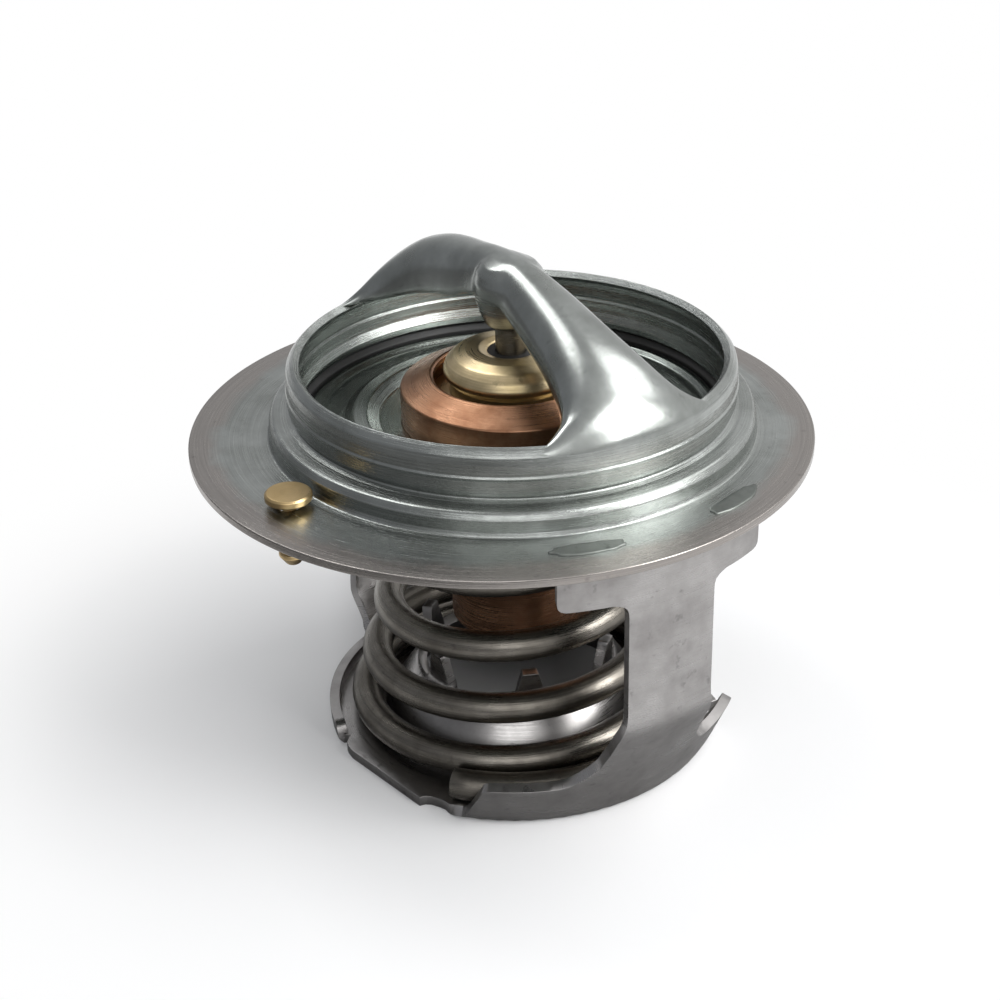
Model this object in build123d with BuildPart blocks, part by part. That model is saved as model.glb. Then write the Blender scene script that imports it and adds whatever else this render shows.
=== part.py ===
"""Engine thermostat: flange with bridge, wax valve, cage and spring. Millimetres, +Z up."""

import os
from math import cos, pi, radians, sin

from build123d import *

# Frame: the origin is the centre of the flange on its upper face, +X points to the first leg.
valve_offset = 1.2
valve_centre = (0, valve_offset)
valve_axis = Axis((0, valve_offset, 0), (0, 0, 1))
valve_plane = Plane.XZ.offset(-valve_offset)

# Flange and collar
flange_radius = 28.0
sheet = 0.75
base_radius = 22.35
drum_radius = 21.85
drum_height = 2.05
crease_radius = 19.7
crease_height = 2.45
neck_radius = 20.1
neck_low = 3.2
bead_height = 4.4
bead_rise = 0.15
bead_half = 0.22
shoulder_height = 5.7
rim_radius = 19.35
rim_height = 7.0
seat_height = 1.45

# Bridge: stations along the arm as distance, half width, crest height and edge drop
bridge_stations = (
    (-19.1, 3.0, 7.5, 1.4),
    (-18.4, 5.8, 8.9, 2.3),
    (-17.4, 7.4, 10.6, 3.9),
    (-16.0, 5.8, 12.2, 5.0),
    (-13.8, 4.2, 13.4, 5.2),
    (-11.0, 3.4, 14.4, 5.0),
    (-8.3, 3.0, 15.0, 4.8),
    (-5.5, 2.7, 15.4, 4.5),
    (-2.8, 2.6, 15.8, 4.0),
    (0.0, 2.7, 16.0, 3.6),
    (3.3, 2.9, 15.4, 3.5),
    (7.0, 3.2, 14.4, 3.5),
    (10.5, 3.75, 13.3, 3.6),
    (13.5, 4.55, 12.2, 3.8),
    (15.8, 6.1, 10.9, 3.8),
    (17.3, 7.7, 9.7, 3.0),
    (18.4, 6.0, 8.3, 1.7),
    (19.1, 3.0, 7.4, 1.3),
)
arch_steps = 8

# Piston and the boss that holds it
piston_radius = 1.38
piston_bottom = -9.0
boss_bottom = 9.2
boss_tip_radius = 2.2
boss_waist_height = 10.6
boss_waist_radius = 2.45
boss_root_height = 14.2
boss_root_radius = 3.2
piston_fit = 0.01
piston_top = 12.9

# Valve disc, seal and seat
disc_radius = 20.75
disc_sheet = 0.8
disc_bottom = -0.2
hub_ring_radius = 13.7
hub_ring_rise = 0.9
hub_ring_half = 0.9
disc_slope_start = 15.0
disc_edge_top = 0.2
seal_gap = 0.03
seal_outer_radius = 20.95
seal_inner_radius = 18.3
seal_contact_outer = 20.7
seal_contact_inner = 19.4

# Wax element
case_head_radius = 10.0
case_head_bottom = disc_bottom + disc_sheet
case_side_top = 3.8
case_lip_radius = 7.0
case_lip_height = 5.0
case_wall = 1.0
case_tube_radius = 6.0
case_bottom = -20.0
case_edge_round = 0.6
guide_radius = 6.1
guide_top = 7.3
guide_shoulder_height = 5.0
guide_foot_radius = case_head_radius - case_wall
guide_foot_height = 1.4
guide_recess_radius = 2.5
guide_recess_depth = 0.9
wiper_thickness = 0.55
running_gap = 0.05
sleeve_wall = 1.3
sleeve_floor = 1.4
sleeve_flange_height = 0.8

# Cage: the floor's underside lies 30 below the flange's underside
leg_radius = 25.2
cage_sheet = 0.95
cage_depth = 30.0
cage_bottom = -sheet - cage_depth
bend_height = -18.0
wall_radius = 21.2
wall_height = -25.8
dish_radius = 19.6
dish_height = -29.6
floor_radius = 18.25
cone_foot_radius = 12.3
cone_top_radius = 8.7
cone_top_height = -25.4
floor_hole_radius = 8.0
head_half_width = 10.2
head_bottom = -5.35
head_corner = 1.0
leg_half_width = 4.3
neck_fillet = 1.0
flare_outline = ((4.4, -17.5), (4.8, -19.6), (4.9, -21.5), (5.15, -23.3), (5.7, -24.2), (6.6, -25.2))
low_wall_neck = 7.8
low_wall_half = 13.65
low_wall_tip = 13.8
low_wall_tip_height = -28.5
low_wall_foot = 13.5
second_flare_outline = ((4.4, -17.5), (5.2, -19.5), (6.3, -22.2), (7.2, -24.3), (7.8, -26.2), (8.1, -28.2))
second_foot_half = 8.3
near_lip = ((-3.0, -16.7), (-2.1, -17.7), (-0.7, -17.9), (9.2, -16.2), (9.6, -15.2), (11.7, -14.4))
far_lip = ((-3.0, 16.7), (-2.1, 17.7), (-0.7, 17.9), (11.2, 15.9), (11.4, 15.0), (11.7, 14.4))
lip_root = 12.0
notch_radius = 17.0
upstand_height = -28.7
upstand_end = -3.2
petal_count = 6
petal_first_angle = -24.0
petal_radius = 9.2
petal_foot_width = 3.4
petal_tip_width = 1.3
petal_tip_height = -21.2
tab_angles = (-17.5, 17.5)
tab_half_width = 2.4
stake_height = 0.12
stake_length = 6.3
stake_width = 1.9
stake_radius = 24.5

# Main spring: turns from the lower end, coil radius and height of the wire's centre
wire_diameter = 2.85
wire_radius = wire_diameter / 2
spring_end_gap = 0.04
seat_wire_height = cage_bottom + cage_sheet + wire_radius + spring_end_gap
top_wire_height = disc_bottom - wire_radius - spring_end_gap
spring_start_angle = -51.8
spring_turns = (
    (0.0, 17.2, seat_wire_height),
    (0.2, 16.7, seat_wire_height),
    (0.4, 15.7, seat_wire_height),
    (0.6, 15.0, seat_wire_height),
    (0.8, 14.6, seat_wire_height),
    (1.05, 14.3, -27.35),
    (2.05, 13.05, -22.4),
    (3.05, 11.7, -16.7),
    (4.0, 10.45, -11.0),
    (5.0, 9.4, -4.9),
    (5.55, 9.0, top_wire_height),
    (5.9, 9.0, top_wire_height),
)
spring_steps_per_turn = 12

# Jiggle pin
pin_distance = 24.3
pin_angle = -82.0
pin_head_radius = 2.02
pin_head_top = 1.25
pin_head_bottom = 0.45
pin_head_round = 0.2
pin_stem_radius = 0.6
pin_cone_bottom = -0.25
pin_bulb_top = -4.0
pin_bulb_radius = 1.2
pin_bottom = -5.5
pin_hole_radius = 1.1


def around_valve(radius: float, angle: float) -> tuple[float, float]:
    """Point at a radius and an angle in degrees about the valve's axis."""
    turn = radians(angle)
    return (radius * cos(turn), valve_offset + radius * sin(turn))


def half_ellipse(half_width: float, crest: float, drop: float) -> list[tuple[float, float]]:
    """Points of an arch section from its left edge over the crest to its right edge."""
    points = []
    for step in range(arch_steps + 1):
        turn = pi * step / arch_steps - pi / 2
        points.append((half_width * sin(turn), crest - drop * (1 - cos(turn))))
    return points


def arm_section(distance: float, half_width: float, crest: float, drop: float) -> Sketch:
    """Thick arch section of the bridge at a distance from the valve's axis."""
    outer = half_ellipse(half_width, crest, drop)
    inner = half_ellipse(half_width - sheet, crest - sheet, drop - sheet)
    with BuildSketch(Plane((distance, valve_offset, 0), (0, 1, 0), (1, 0, 0))) as section:
        with BuildLine():
            Spline(*outer)
            Line(outer[-1], inner[-1])
            Spline(*reversed(inner))
            Line(inner[0], outer[0])
        make_face()
    return section.sketch


def interpolate(turn: float, column: int) -> float:
    """Value of a spring table column at a number of turns."""
    for low, high in zip(spring_turns, spring_turns[1:]):
        if turn <= high[0]:
            share = (turn - low[0]) / (high[0] - low[0])
            return low[column] + share * (high[column] - low[column])
    return spring_turns[-1][column]


# Flange with collar and bridge
pin_point = around_valve(pin_distance, pin_angle)
collar_outer = (
    (base_radius, 0),
    (drum_radius + 0.1, 0.12),
    (drum_radius, 0.45),
    (drum_radius, drum_height - 0.55),
    (drum_radius - 0.2, drum_height - 0.15),
    (drum_radius - 0.65, drum_height + 0.1),
    (crease_radius + 0.15, drum_height + 0.25),
    (crease_radius, crease_height),
    (neck_radius - 0.1, neck_low - 0.3),
    (neck_radius, neck_low),
    (neck_radius, bead_height - bead_half),
    (neck_radius + bead_rise, bead_height),
    (neck_radius, bead_height + bead_half),
    (neck_radius, shoulder_height),
    (neck_radius - 0.15, shoulder_height + 0.6),
    (rim_radius + 0.3, rim_height - 0.25),
    (rim_radius, rim_height),
)
collar_inner = (
    (rim_radius - 0.6, rim_height - 0.5),
    (neck_radius - sheet - 0.12, shoulder_height + 0.35),
    (neck_radius - sheet, shoulder_height - 0.1),
    (neck_radius - sheet, neck_low + 0.15),
    (neck_radius - sheet - 0.1, neck_low - 0.1),
    (crease_radius - sheet, crease_height + 0.1),
    (crease_radius - sheet, crease_height - 0.35),
    (crease_radius - sheet + 0.25, seat_height + 0.2),
    (crease_radius - sheet + 0.6, seat_height),
    (drum_radius - sheet - 0.25, seat_height),
    (drum_radius - sheet, seat_height - 0.25),
    (drum_radius - sheet, 0.2),
    (drum_radius - sheet + 0.15, -0.35),
    (drum_radius - sheet + 0.55, -sheet),
    (base_radius, -sheet),
)

with BuildPart() as collar:
    with BuildSketch(valve_plane):
        with BuildLine():
            Polyline(*collar_outer, *collar_inner, close=True)
        make_face()
    revolve(axis=valve_axis)

with BuildPart() as bridge:
    loft(sections=[arm_section(*station).face() for station in bridge_stations])

with BuildPart() as boss:
    with BuildSketch(valve_plane):
        with BuildLine():
            Polyline(
                (0, boss_bottom),
                (boss_tip_radius - 0.35, boss_bottom),
                (boss_tip_radius, boss_bottom + 0.35),
                (boss_waist_radius, boss_waist_height),
                (boss_root_radius - 0.5, boss_root_height - 1.2),
                (boss_root_radius - 0.6, boss_root_height),
                (0, boss_root_height),
                close=True,
            )
        make_face()
    revolve(axis=valve_axis)

with BuildPart() as stakes:
    for side in (0, 180):
        for angle in tab_angles:
            outward = (cos(radians(side + angle)), sin(radians(side + angle)), 0)
            tab_plane = Plane(around_valve(leg_radius - cage_sheet / 2, side + angle) + (0,), x_dir=outward)
            stake_plane = Plane(around_valve(stake_radius, side + angle) + (0,), x_dir=outward)
            with BuildSketch(tab_plane):
                Rectangle(cage_sheet, 2 * tab_half_width)
            extrude(amount=-2 * sheet)
            with BuildSketch(stake_plane):
                Ellipse(stake_width / 2, stake_length / 2)
            extrude(amount=stake_height)

with BuildPart() as flange_bridge:
    with BuildSketch():
        Circle(flange_radius)
        with Locations(valve_centre):
            Circle(base_radius, mode=Mode.SUBTRACT)
        with Locations(pin_point):
            Circle(pin_hole_radius, mode=Mode.SUBTRACT)
    extrude(amount=-sheet)
    add(collar.part)
    add(bridge.part)
    add(boss.part)
    with BuildSketch(Plane.XY.offset(boss_bottom)):
        with Locations(valve_centre):
            Circle(piston_radius + piston_fit)
    extrude(amount=piston_top - boss_bottom, mode=Mode.SUBTRACT)
    add(stakes.part, mode=Mode.SUBTRACT)

# Cage: a turned band cut to the legs, the low walls and the floor
cage_outer = (
    (leg_radius, -sheet),
    (leg_radius, bend_height + 1.2),
    (leg_radius - 0.15, bend_height),
    (leg_radius - 0.6, bend_height - 1.1),
    (wall_radius + 0.35, wall_height + 0.6),
    (wall_radius, wall_height - 0.3),
    (dish_radius + 0.2, dish_height + 0.5),
    (dish_radius - 0.1, dish_height - 0.2),
    (floor_radius + 0.4, cage_bottom + 0.15),
    (floor_radius, cage_bottom),
    (cone_foot_radius, cage_bottom),
    (cone_foot_radius - 0.4, cage_bottom + 0.25),
    (cone_top_radius + 0.3, cone_top_height - 0.35),
    (cone_top_radius - 0.2, cone_top_height),
    (floor_hole_radius, cone_top_height + 0.1),
)
cage_inner = (
    (floor_hole_radius, cone_top_height + 0.1 + cage_sheet),
    (cone_top_radius + 0.2, cone_top_height + cage_sheet),
    (cone_top_radius + 0.9, cone_top_height + cage_sheet - 0.55),
    (cone_foot_radius + 0.25, cage_bottom + cage_sheet + 0.3),
    (cone_foot_radius + 0.6, cage_bottom + cage_sheet),
    (floor_radius - 0.2, cage_bottom + cage_sheet),
    (dish_radius - cage_sheet + 0.05, dish_height + 0.5),
    (wall_radius - cage_sheet + 0.05, wall_height),
    (wall_radius - cage_sheet + 0.45, wall_height + 0.9),
    (leg_radius - cage_sheet - 0.6, bend_height - 0.8),
    (leg_radius - cage_sheet, bend_height + 1.4),
    (leg_radius - cage_sheet, -sheet),
)
head_angle_reach = leg_radius + cage_sheet


def leg_outline(flare: tuple, foot: tuple) -> list[tuple[float, float]]:
    """Half outline of a leg, from the middle of its head down to the floor, mirrored to both sides."""
    half = [
        (head_half_width, -sheet),
        (head_half_width, head_bottom + head_corner),
        (head_half_width - 0.3 * head_corner, head_bottom + 0.3 * head_corner),
        (head_half_width - head_corner, head_bottom),
        (leg_half_width + neck_fillet, head_bottom),
        (leg_half_width + 0.3 * neck_fillet, head_bottom - 0.3 * neck_fillet),
        (leg_half_width, head_bottom - neck_fillet),
        *flare,
        *foot,
    ]
    return half + [(-side, height) for side, height in reversed(half)]


first_foot = (
    (low_wall_neck, wall_height),
    (low_wall_half, wall_height),
    (low_wall_tip, low_wall_tip_height),
    (low_wall_foot, cage_bottom),
)
second_foot = ((second_foot_half, cage_bottom),)
floor_plane = Plane((0, valve_offset, cage_bottom))

with BuildPart() as band:
    with BuildSketch(valve_plane):
        with BuildLine():
            Polyline(*cage_outer, *cage_inner, close=True)
        make_face()
    revolve(axis=valve_axis)

with BuildPart() as leg_regions:
    with BuildSketch(Plane((0, valve_offset, 0), (0, 1, 0), (1, 0, 0))):
        with BuildLine():
            Polyline(*leg_outline(flare_outline, first_foot), close=True)
        make_face()
    extrude(amount=head_angle_reach)
    with BuildSketch(Plane((0, valve_offset, 0), (0, 1, 0), (1, 0, 0))):
        with BuildLine():
            Polyline(*leg_outline(second_flare_outline, second_foot), close=True)
        make_face()
    extrude(amount=-head_angle_reach)
    with BuildSketch(floor_plane):
        Circle(cone_foot_radius + 1)
    extrude(amount=-cage_bottom + cone_top_height + 2 * cage_sheet)
    with BuildSketch(floor_plane):
        Circle(notch_radius)
    extrude(amount=cage_sheet)

with BuildPart() as lower_frame:
    add(band.part)
    add(leg_regions.part, mode=Mode.INTERSECT)
    for side, lip_outline in ((-1, near_lip), (1, far_lip)):
        lip_start = (lip_outline[0][0], side * lip_root)
        lip_end = (lip_outline[-1][0], side * lip_root)
        with BuildSketch(floor_plane):
            with BuildLine():
                Polyline(lip_start, *lip_outline, lip_end, close=True)
            make_face()
            Circle(cone_foot_radius + 0.6, mode=Mode.SUBTRACT)
        extrude(amount=cage_sheet)
    with BuildSketch(floor_plane):
        Circle(floor_radius)
        Circle(cone_foot_radius + 0.6, mode=Mode.SUBTRACT)
        with Locations((-floor_radius, 0)):
            Rectangle(2 * (floor_radius + upstand_end), 2 * floor_radius, mode=Mode.INTERSECT)
    extrude(amount=cage_sheet)
    with BuildSketch(floor_plane):
        Circle(floor_radius)
        Circle(floor_radius - cage_sheet, mode=Mode.SUBTRACT)
        with Locations((-floor_radius, 0)):
            Rectangle(2 * (floor_radius + upstand_end), 2 * floor_radius, mode=Mode.INTERSECT)
            Rectangle(2 * floor_radius, 2 * second_foot_half, mode=Mode.SUBTRACT)
    extrude(amount=upstand_height - cage_bottom)
    for number in range(petal_count):
        angle = petal_first_angle + number * 360 / petal_count
        petal_foot = Plane(
            around_valve(petal_radius, angle) + (cone_top_height,),
            x_dir=(-sin(radians(angle)), cos(radians(angle)), 0),
            z_dir=(cos(radians(angle)), sin(radians(angle)), 0),
        )
        with BuildSketch(petal_foot):
            with BuildLine():
                Polyline(
                    (-petal_foot_width / 2, 0),
                    (petal_foot_width / 2, 0),
                    (petal_tip_width / 2, petal_tip_height - cone_top_height),
                    (-petal_tip_width / 2, petal_tip_height - cone_top_height),
                    close=True,
                )
            make_face()
        extrude(amount=-cage_sheet)
    add(stakes.part)

# Valve disc and seal
with BuildPart() as valve_disc:
    with BuildSketch(valve_plane):
        with BuildLine():
            Polyline(
                (case_tube_radius, disc_bottom),
                (case_head_radius + 1.2, disc_bottom),
                (hub_ring_radius - hub_ring_half - 0.6, disc_bottom + 0.1),
                (hub_ring_radius - 0.4, disc_bottom + hub_ring_rise),
                (hub_ring_radius + 0.4, disc_bottom + hub_ring_rise),
                (disc_slope_start, disc_bottom + 0.15),
                (disc_slope_start + 2, disc_bottom),
                (seal_inner_radius, disc_edge_top - disc_sheet),
                (disc_radius, disc_edge_top - disc_sheet),
                (disc_radius, disc_edge_top),
                (seal_inner_radius, disc_edge_top),
                (disc_slope_start + 2.2, disc_bottom + disc_sheet),
                (disc_slope_start + 0.2, disc_bottom + disc_sheet + 0.15),
                (hub_ring_radius + 0.6, disc_bottom + hub_ring_rise + disc_sheet),
                (hub_ring_radius - 0.6, disc_bottom + hub_ring_rise + disc_sheet),
                (hub_ring_radius - hub_ring_half - 0.8, disc_bottom + disc_sheet + 0.1),
                (case_head_radius + 1.0, disc_bottom + disc_sheet),
                (case_tube_radius, disc_bottom + disc_sheet),
                close=True,
            )
        make_face()
    revolve(axis=valve_axis)

with BuildPart() as valve_seal:
    with BuildSketch(valve_plane):
        with BuildLine():
            Polyline(
                (seal_inner_radius, disc_edge_top),
                (disc_radius, disc_edge_top),
                (seal_outer_radius, disc_edge_top + 0.25),
                (seal_contact_outer, seat_height - seal_gap),
                (seal_contact_inner, seat_height - seal_gap),
                (seal_inner_radius, disc_edge_top + 0.55),
                close=True,
            )
        make_face()
    revolve(axis=valve_axis)

# Wax element
with BuildPart() as capsule_case:
    with BuildSketch(valve_plane):
        with BuildLine():
            Polyline(
                (0, case_bottom),
                (case_tube_radius - case_edge_round, case_bottom),
                (case_tube_radius - 0.3 * case_edge_round, case_bottom + 0.3 * case_edge_round),
                (case_tube_radius, case_bottom + case_edge_round),
                (case_tube_radius, case_head_bottom),
                (case_head_radius, case_head_bottom),
                (case_head_radius, case_side_top),
                (case_lip_radius + 0.2, case_lip_height),
                (case_lip_radius, case_lip_height - 0.15),
                (case_lip_radius, case_lip_height - 0.75),
                (guide_foot_radius, case_side_top - 0.4),
                (guide_foot_radius, guide_foot_height),
                (case_tube_radius - case_wall, guide_foot_height),
                (case_tube_radius - case_wall, case_bottom + case_wall),
                (0, case_bottom + case_wall),
                close=True,
            )
        make_face()
    revolve(axis=valve_axis)

sleeve_bore = piston_radius + running_gap
sleeve_radius = sleeve_bore + sleeve_wall
sleeve_bottom = piston_bottom - sleeve_floor

with BuildPart() as guide:
    with BuildSketch(valve_plane):
        with BuildLine():
            Polyline(
                (sleeve_bore, guide_foot_height + sleeve_flange_height),
                (case_tube_radius - case_wall, guide_foot_height + sleeve_flange_height),
                (case_tube_radius - case_wall, guide_foot_height),
                (guide_foot_radius, guide_foot_height),
                (guide_foot_radius, case_side_top - 0.8),
                (guide_radius - 0.15, case_side_top - 0.5),
                (guide_radius - 0.1, guide_shoulder_height - 0.4),
                (guide_radius, guide_shoulder_height),
                (guide_radius - 0.25, guide_shoulder_height + 0.8),
                (guide_radius - 1.0, guide_shoulder_height + 1.5),
                (guide_radius - 2.0, guide_shoulder_height + 2.05),
                (guide_recess_radius + 0.25, guide_top),
                (guide_recess_radius, guide_top - 0.1),
                (guide_recess_radius, guide_top - guide_recess_depth),
                (sleeve_bore, guide_top - guide_recess_depth),
                close=True,
            )
        make_face()
    revolve(axis=valve_axis)

with BuildPart() as wiper_ring:
    with BuildSketch(Plane.XY.offset(guide_top - guide_recess_depth)):
        with Locations(valve_centre):
            Circle(guide_recess_radius)
            Circle(sleeve_bore, mode=Mode.SUBTRACT)
    extrude(amount=wiper_thickness)

with BuildPart() as rubber_sleeve:
    with BuildSketch(valve_plane):
        with BuildLine():
            Polyline(
                (0, sleeve_bottom),
                (sleeve_radius, sleeve_bottom),
                (sleeve_radius, guide_foot_height),
                (case_tube_radius - case_wall, guide_foot_height),
                (case_tube_radius - case_wall, guide_foot_height + sleeve_flange_height),
                (sleeve_bore, guide_foot_height + sleeve_flange_height),
                (sleeve_bore, piston_bottom - running_gap),
                (0, piston_bottom - running_gap),
                close=True,
            )
        make_face()
    revolve(axis=valve_axis)

with BuildPart() as wax_charge:
    with BuildSketch(valve_plane):
        with BuildLine():
            Polyline(
                (0, case_bottom + case_wall),
                (case_tube_radius - case_wall, case_bottom + case_wall),
                (case_tube_radius - case_wall, guide_foot_height),
                (sleeve_radius, guide_foot_height),
                (sleeve_radius, sleeve_bottom),
                (0, sleeve_bottom),
                close=True,
            )
        make_face()
    revolve(axis=valve_axis)

with BuildPart() as piston:
    with BuildSketch(Plane.XY.offset(piston_bottom)):
        with Locations(valve_centre):
            Circle(piston_radius)
    extrude(amount=piston_top - piston_bottom)

# Main spring
spring_path = []
last_turn = spring_turns[-1][0]
spring_steps = round(last_turn * spring_steps_per_turn)
for step in range(spring_steps + 1):
    turn = last_turn * step / spring_steps
    coil_point = around_valve(interpolate(turn, 1), spring_start_angle + 360 * turn)
    spring_path.append(coil_point + (interpolate(turn, 2),))

with BuildPart() as main_spring:
    with BuildLine() as coil:
        Spline(*spring_path)
    with BuildSketch(Plane(spring_path[0], z_dir=coil.line % 0)):
        Circle(wire_radius)
    sweep()

# Jiggle pin
with BuildPart() as jiggle_pin:
    with BuildSketch(Plane.XZ.offset(-pin_point[1])):
        with BuildLine():
            Polyline(
                (pin_point[0], pin_head_top),
                (pin_point[0] + pin_head_radius - pin_head_round, pin_head_top),
                (pin_point[0] + pin_head_radius, pin_head_top - pin_head_round),
                (pin_point[0] + pin_head_radius, pin_head_bottom + pin_head_round),
                (pin_point[0] + pin_head_radius - pin_head_round, pin_head_bottom),
                (pin_point[0] + pin_stem_radius, pin_cone_bottom),
                (pin_point[0] + pin_stem_radius, pin_bulb_top),
                (pin_point[0] + pin_bulb_radius, pin_bulb_top - 0.4),
                (pin_point[0] + pin_bulb_radius, pin_bulb_top - 0.7),
                (pin_point[0] + 0.5 * pin_bulb_radius, pin_bottom),
                (pin_point[0], pin_bottom),
                close=True,
            )
        make_face()
    revolve(axis=Axis(pin_point + (0,), (0, 0, 1)))

parts = {
    "flange_bridge": flange_bridge,
    "lower_frame": lower_frame,
    "valve_disc": valve_disc,
    "valve_seal": valve_seal,
    "capsule_case": capsule_case,
    "guide": guide,
    "wiper_ring": wiper_ring,
    "rubber_sleeve": rubber_sleeve,
    "wax_charge": wax_charge,
    "piston": piston,
    "main_spring": main_spring,
    "jiggle_pin": jiggle_pin,
}
os.makedirs("parts", exist_ok=True)
for label, builder in parts.items():
    builder.part.label = label
    export_step(builder.part, f"parts/{label}.step")
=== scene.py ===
"""Engine thermostat: stampings, wax element, spring, materials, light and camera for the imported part."""

import logging
import math
from dataclasses import dataclass, field
from enum import Enum
from typing import Callable, Sequence

import bmesh
import bpy
import numpy as np
from mathutils import Matrix, Vector
from mathutils.geometry import delaunay_2d_cdt

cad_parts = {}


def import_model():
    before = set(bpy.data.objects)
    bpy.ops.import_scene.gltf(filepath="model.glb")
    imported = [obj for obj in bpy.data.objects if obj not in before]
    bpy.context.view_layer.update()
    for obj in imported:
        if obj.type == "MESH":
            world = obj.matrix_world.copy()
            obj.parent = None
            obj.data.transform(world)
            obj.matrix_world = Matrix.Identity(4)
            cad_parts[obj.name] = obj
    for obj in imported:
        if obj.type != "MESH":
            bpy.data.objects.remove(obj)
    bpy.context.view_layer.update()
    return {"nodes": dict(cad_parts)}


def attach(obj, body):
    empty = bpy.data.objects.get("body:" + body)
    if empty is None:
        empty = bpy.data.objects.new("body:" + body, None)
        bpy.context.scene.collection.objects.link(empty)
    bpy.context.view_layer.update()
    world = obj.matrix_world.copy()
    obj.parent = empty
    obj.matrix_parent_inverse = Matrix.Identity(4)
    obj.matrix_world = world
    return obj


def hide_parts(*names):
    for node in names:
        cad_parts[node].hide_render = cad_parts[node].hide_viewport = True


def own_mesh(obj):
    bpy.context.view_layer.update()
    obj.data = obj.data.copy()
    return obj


LOG = logging.getLogger("thermostat")
MM = 0.001

VALVE_Y = 1.2
SHEET = 0.75
CAGE_SHEET = 0.95
FLANGE_RADIUS = 28.0
BASE_RADIUS = 22.35
LEG_RADIUS = 25.2
CAGE_BOTTOM = -SHEET - 30.0
WIRE_RADIUS = 1.425
SEAT_Z = CAGE_BOTTOM + CAGE_SHEET
DISC_BOTTOM = -0.2
COIL_GAP = 0.03
COIL_LOW = SEAT_Z + WIRE_RADIUS + COIL_GAP
COIL_HIGH = DISC_BOTTOM - WIRE_RADIUS - COIL_GAP
PISTON_RADIUS = 1.38
PIN_PLACE = (3.38, -22.86)

Point = tuple[float, float]
Corner = tuple[float, float, float]
Colour = tuple[float, float, float]
Span = tuple[float, float, float, float]
Socket = bpy.types.NodeSocket
Source = Socket | float | Sequence[float]


class Body(Enum):
    """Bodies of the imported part."""

    FRAME = "frame"
    VALVE = "valve"
    PIN = "jiggle_pin"


def rounded(corners: Sequence[Corner], steps: int = 5) -> list[Point]:
    """Round the corners of a closed profile.

    Args:
        corners: radius, height and fillet radius of each corner, in millimetres.
        steps: number of segments in each fillet.

    Returns:
        The points of the rounded profile.
    """
    points: list[Point] = []
    count = len(corners)
    for index, (r, z, fillet) in enumerate(corners):
        here = np.array((r, z))
        before = np.array(corners[index - 1][:2]) - here
        after = np.array(corners[(index + 1) % count][:2]) - here
        length_before = float(np.linalg.norm(before))
        length_after = float(np.linalg.norm(after))
        if fillet <= 0 or min(length_before, length_after) < 1e-6:
            points.append((r, z))
            continue
        before, after = before / length_before, after / length_after
        half = math.acos(float(np.clip(before @ after, -1, 1))) / 2
        if half > math.pi / 2 - 0.02:
            points.append((r, z))
            continue
        reach = min(fillet / math.tan(half), 0.49 * length_before, 0.49 * length_after)
        for step in range(steps + 1):
            share = step / steps
            curve = (1 - share) ** 2 * (here + reach * before)
            curve = curve + 2 * share * (1 - share) * here + share**2 * (here + reach * after)
            points.append((float(curve[0]), float(curve[1])))
    return points


def smooth_path(knots: Sequence[Sequence[float]], count: int) -> np.ndarray:
    """Sample a smooth curve through knots of any dimension.

    Args:
        knots: rows of numbers that the curve passes through.
        count: number of samples.

    Returns:
        An array of the samples, one row each.
    """
    table = np.array(knots, float)
    padded = np.vstack([2 * table[0] - table[1], table, 2 * table[-1] - table[-2]])
    rows = []
    for place in np.linspace(0, len(table) - 1, count):
        index = min(int(place), len(table) - 2)
        t = place - index
        a, b, c, d = padded[index : index + 4]
        rows.append(0.5 * (2 * b + (c - a) * t + (2 * a - 5 * b + 4 * c - d) * t * t
                           + (3 * b - a - 3 * c + d) * t**3))
    return np.array(rows)


def flange_reach(angle: float) -> float:
    """Distance from the valve's axis to the flange's edge in a direction.

    Args:
        angle: direction in radians, from +X.

    Returns:
        The distance in millimetres.
    """
    lean = VALVE_Y * math.sin(angle)
    return -lean + math.sqrt(lean * lean + FLANGE_RADIUS**2 - VALVE_Y**2)


def heading(degrees: float) -> Corner:
    """Level direction from the part's middle.

    Args:
        degrees: angle from +X towards +Y.

    Returns:
        The unit vector.
    """
    return math.cos(math.radians(degrees)), math.sin(math.radians(degrees)), 0.0


def ease(share: np.ndarray | float) -> np.ndarray | float:
    """Smooth a share between 0 and 1, so that it starts and ends without a kink.

    Args:
        share: value or values from 0 to 1.

    Returns:
        The smoothed share.
    """
    return share * share * (3 - 2 * share)


def make_mesh(name: str, points: np.ndarray, faces: Sequence[Sequence[int]],
              along: Sequence[float] | None = None, weld: float = 1e-4) -> bpy.types.Object:
    """Make a smooth-shaded mesh object from points in millimetres.

    Args:
        name: the object's name.
        points: vertex positions in millimetres.
        faces: vertex indices of each face.
        along: distance along the profile at each vertex, kept for the materials.
        weld: distance in millimetres under which vertices are joined.

    Returns:
        The new object, linked to the scene.
    """
    mesh = bpy.data.meshes.new(name)
    mesh.from_pydata((np.asarray(points, float) * MM).tolist(), [], [list(face) for face in faces])
    if along is not None:
        values = mesh.attributes.new("along", "FLOAT", "POINT")
        values.data.foreach_set("value", np.asarray(along, np.float32))
    shape = bmesh.new()
    shape.from_mesh(mesh)
    bmesh.ops.remove_doubles(shape, verts=shape.verts, dist=weld * MM)
    bmesh.ops.dissolve_degenerate(shape, edges=shape.edges, dist=1e-9)
    bmesh.ops.recalc_face_normals(shape, faces=shape.faces)
    shape.to_mesh(mesh)
    shape.free()
    mesh.polygons.foreach_set("use_smooth", [True] * len(mesh.polygons))
    thing = bpy.data.objects.new(name, mesh)
    bpy.context.scene.collection.objects.link(thing)
    return thing


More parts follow.
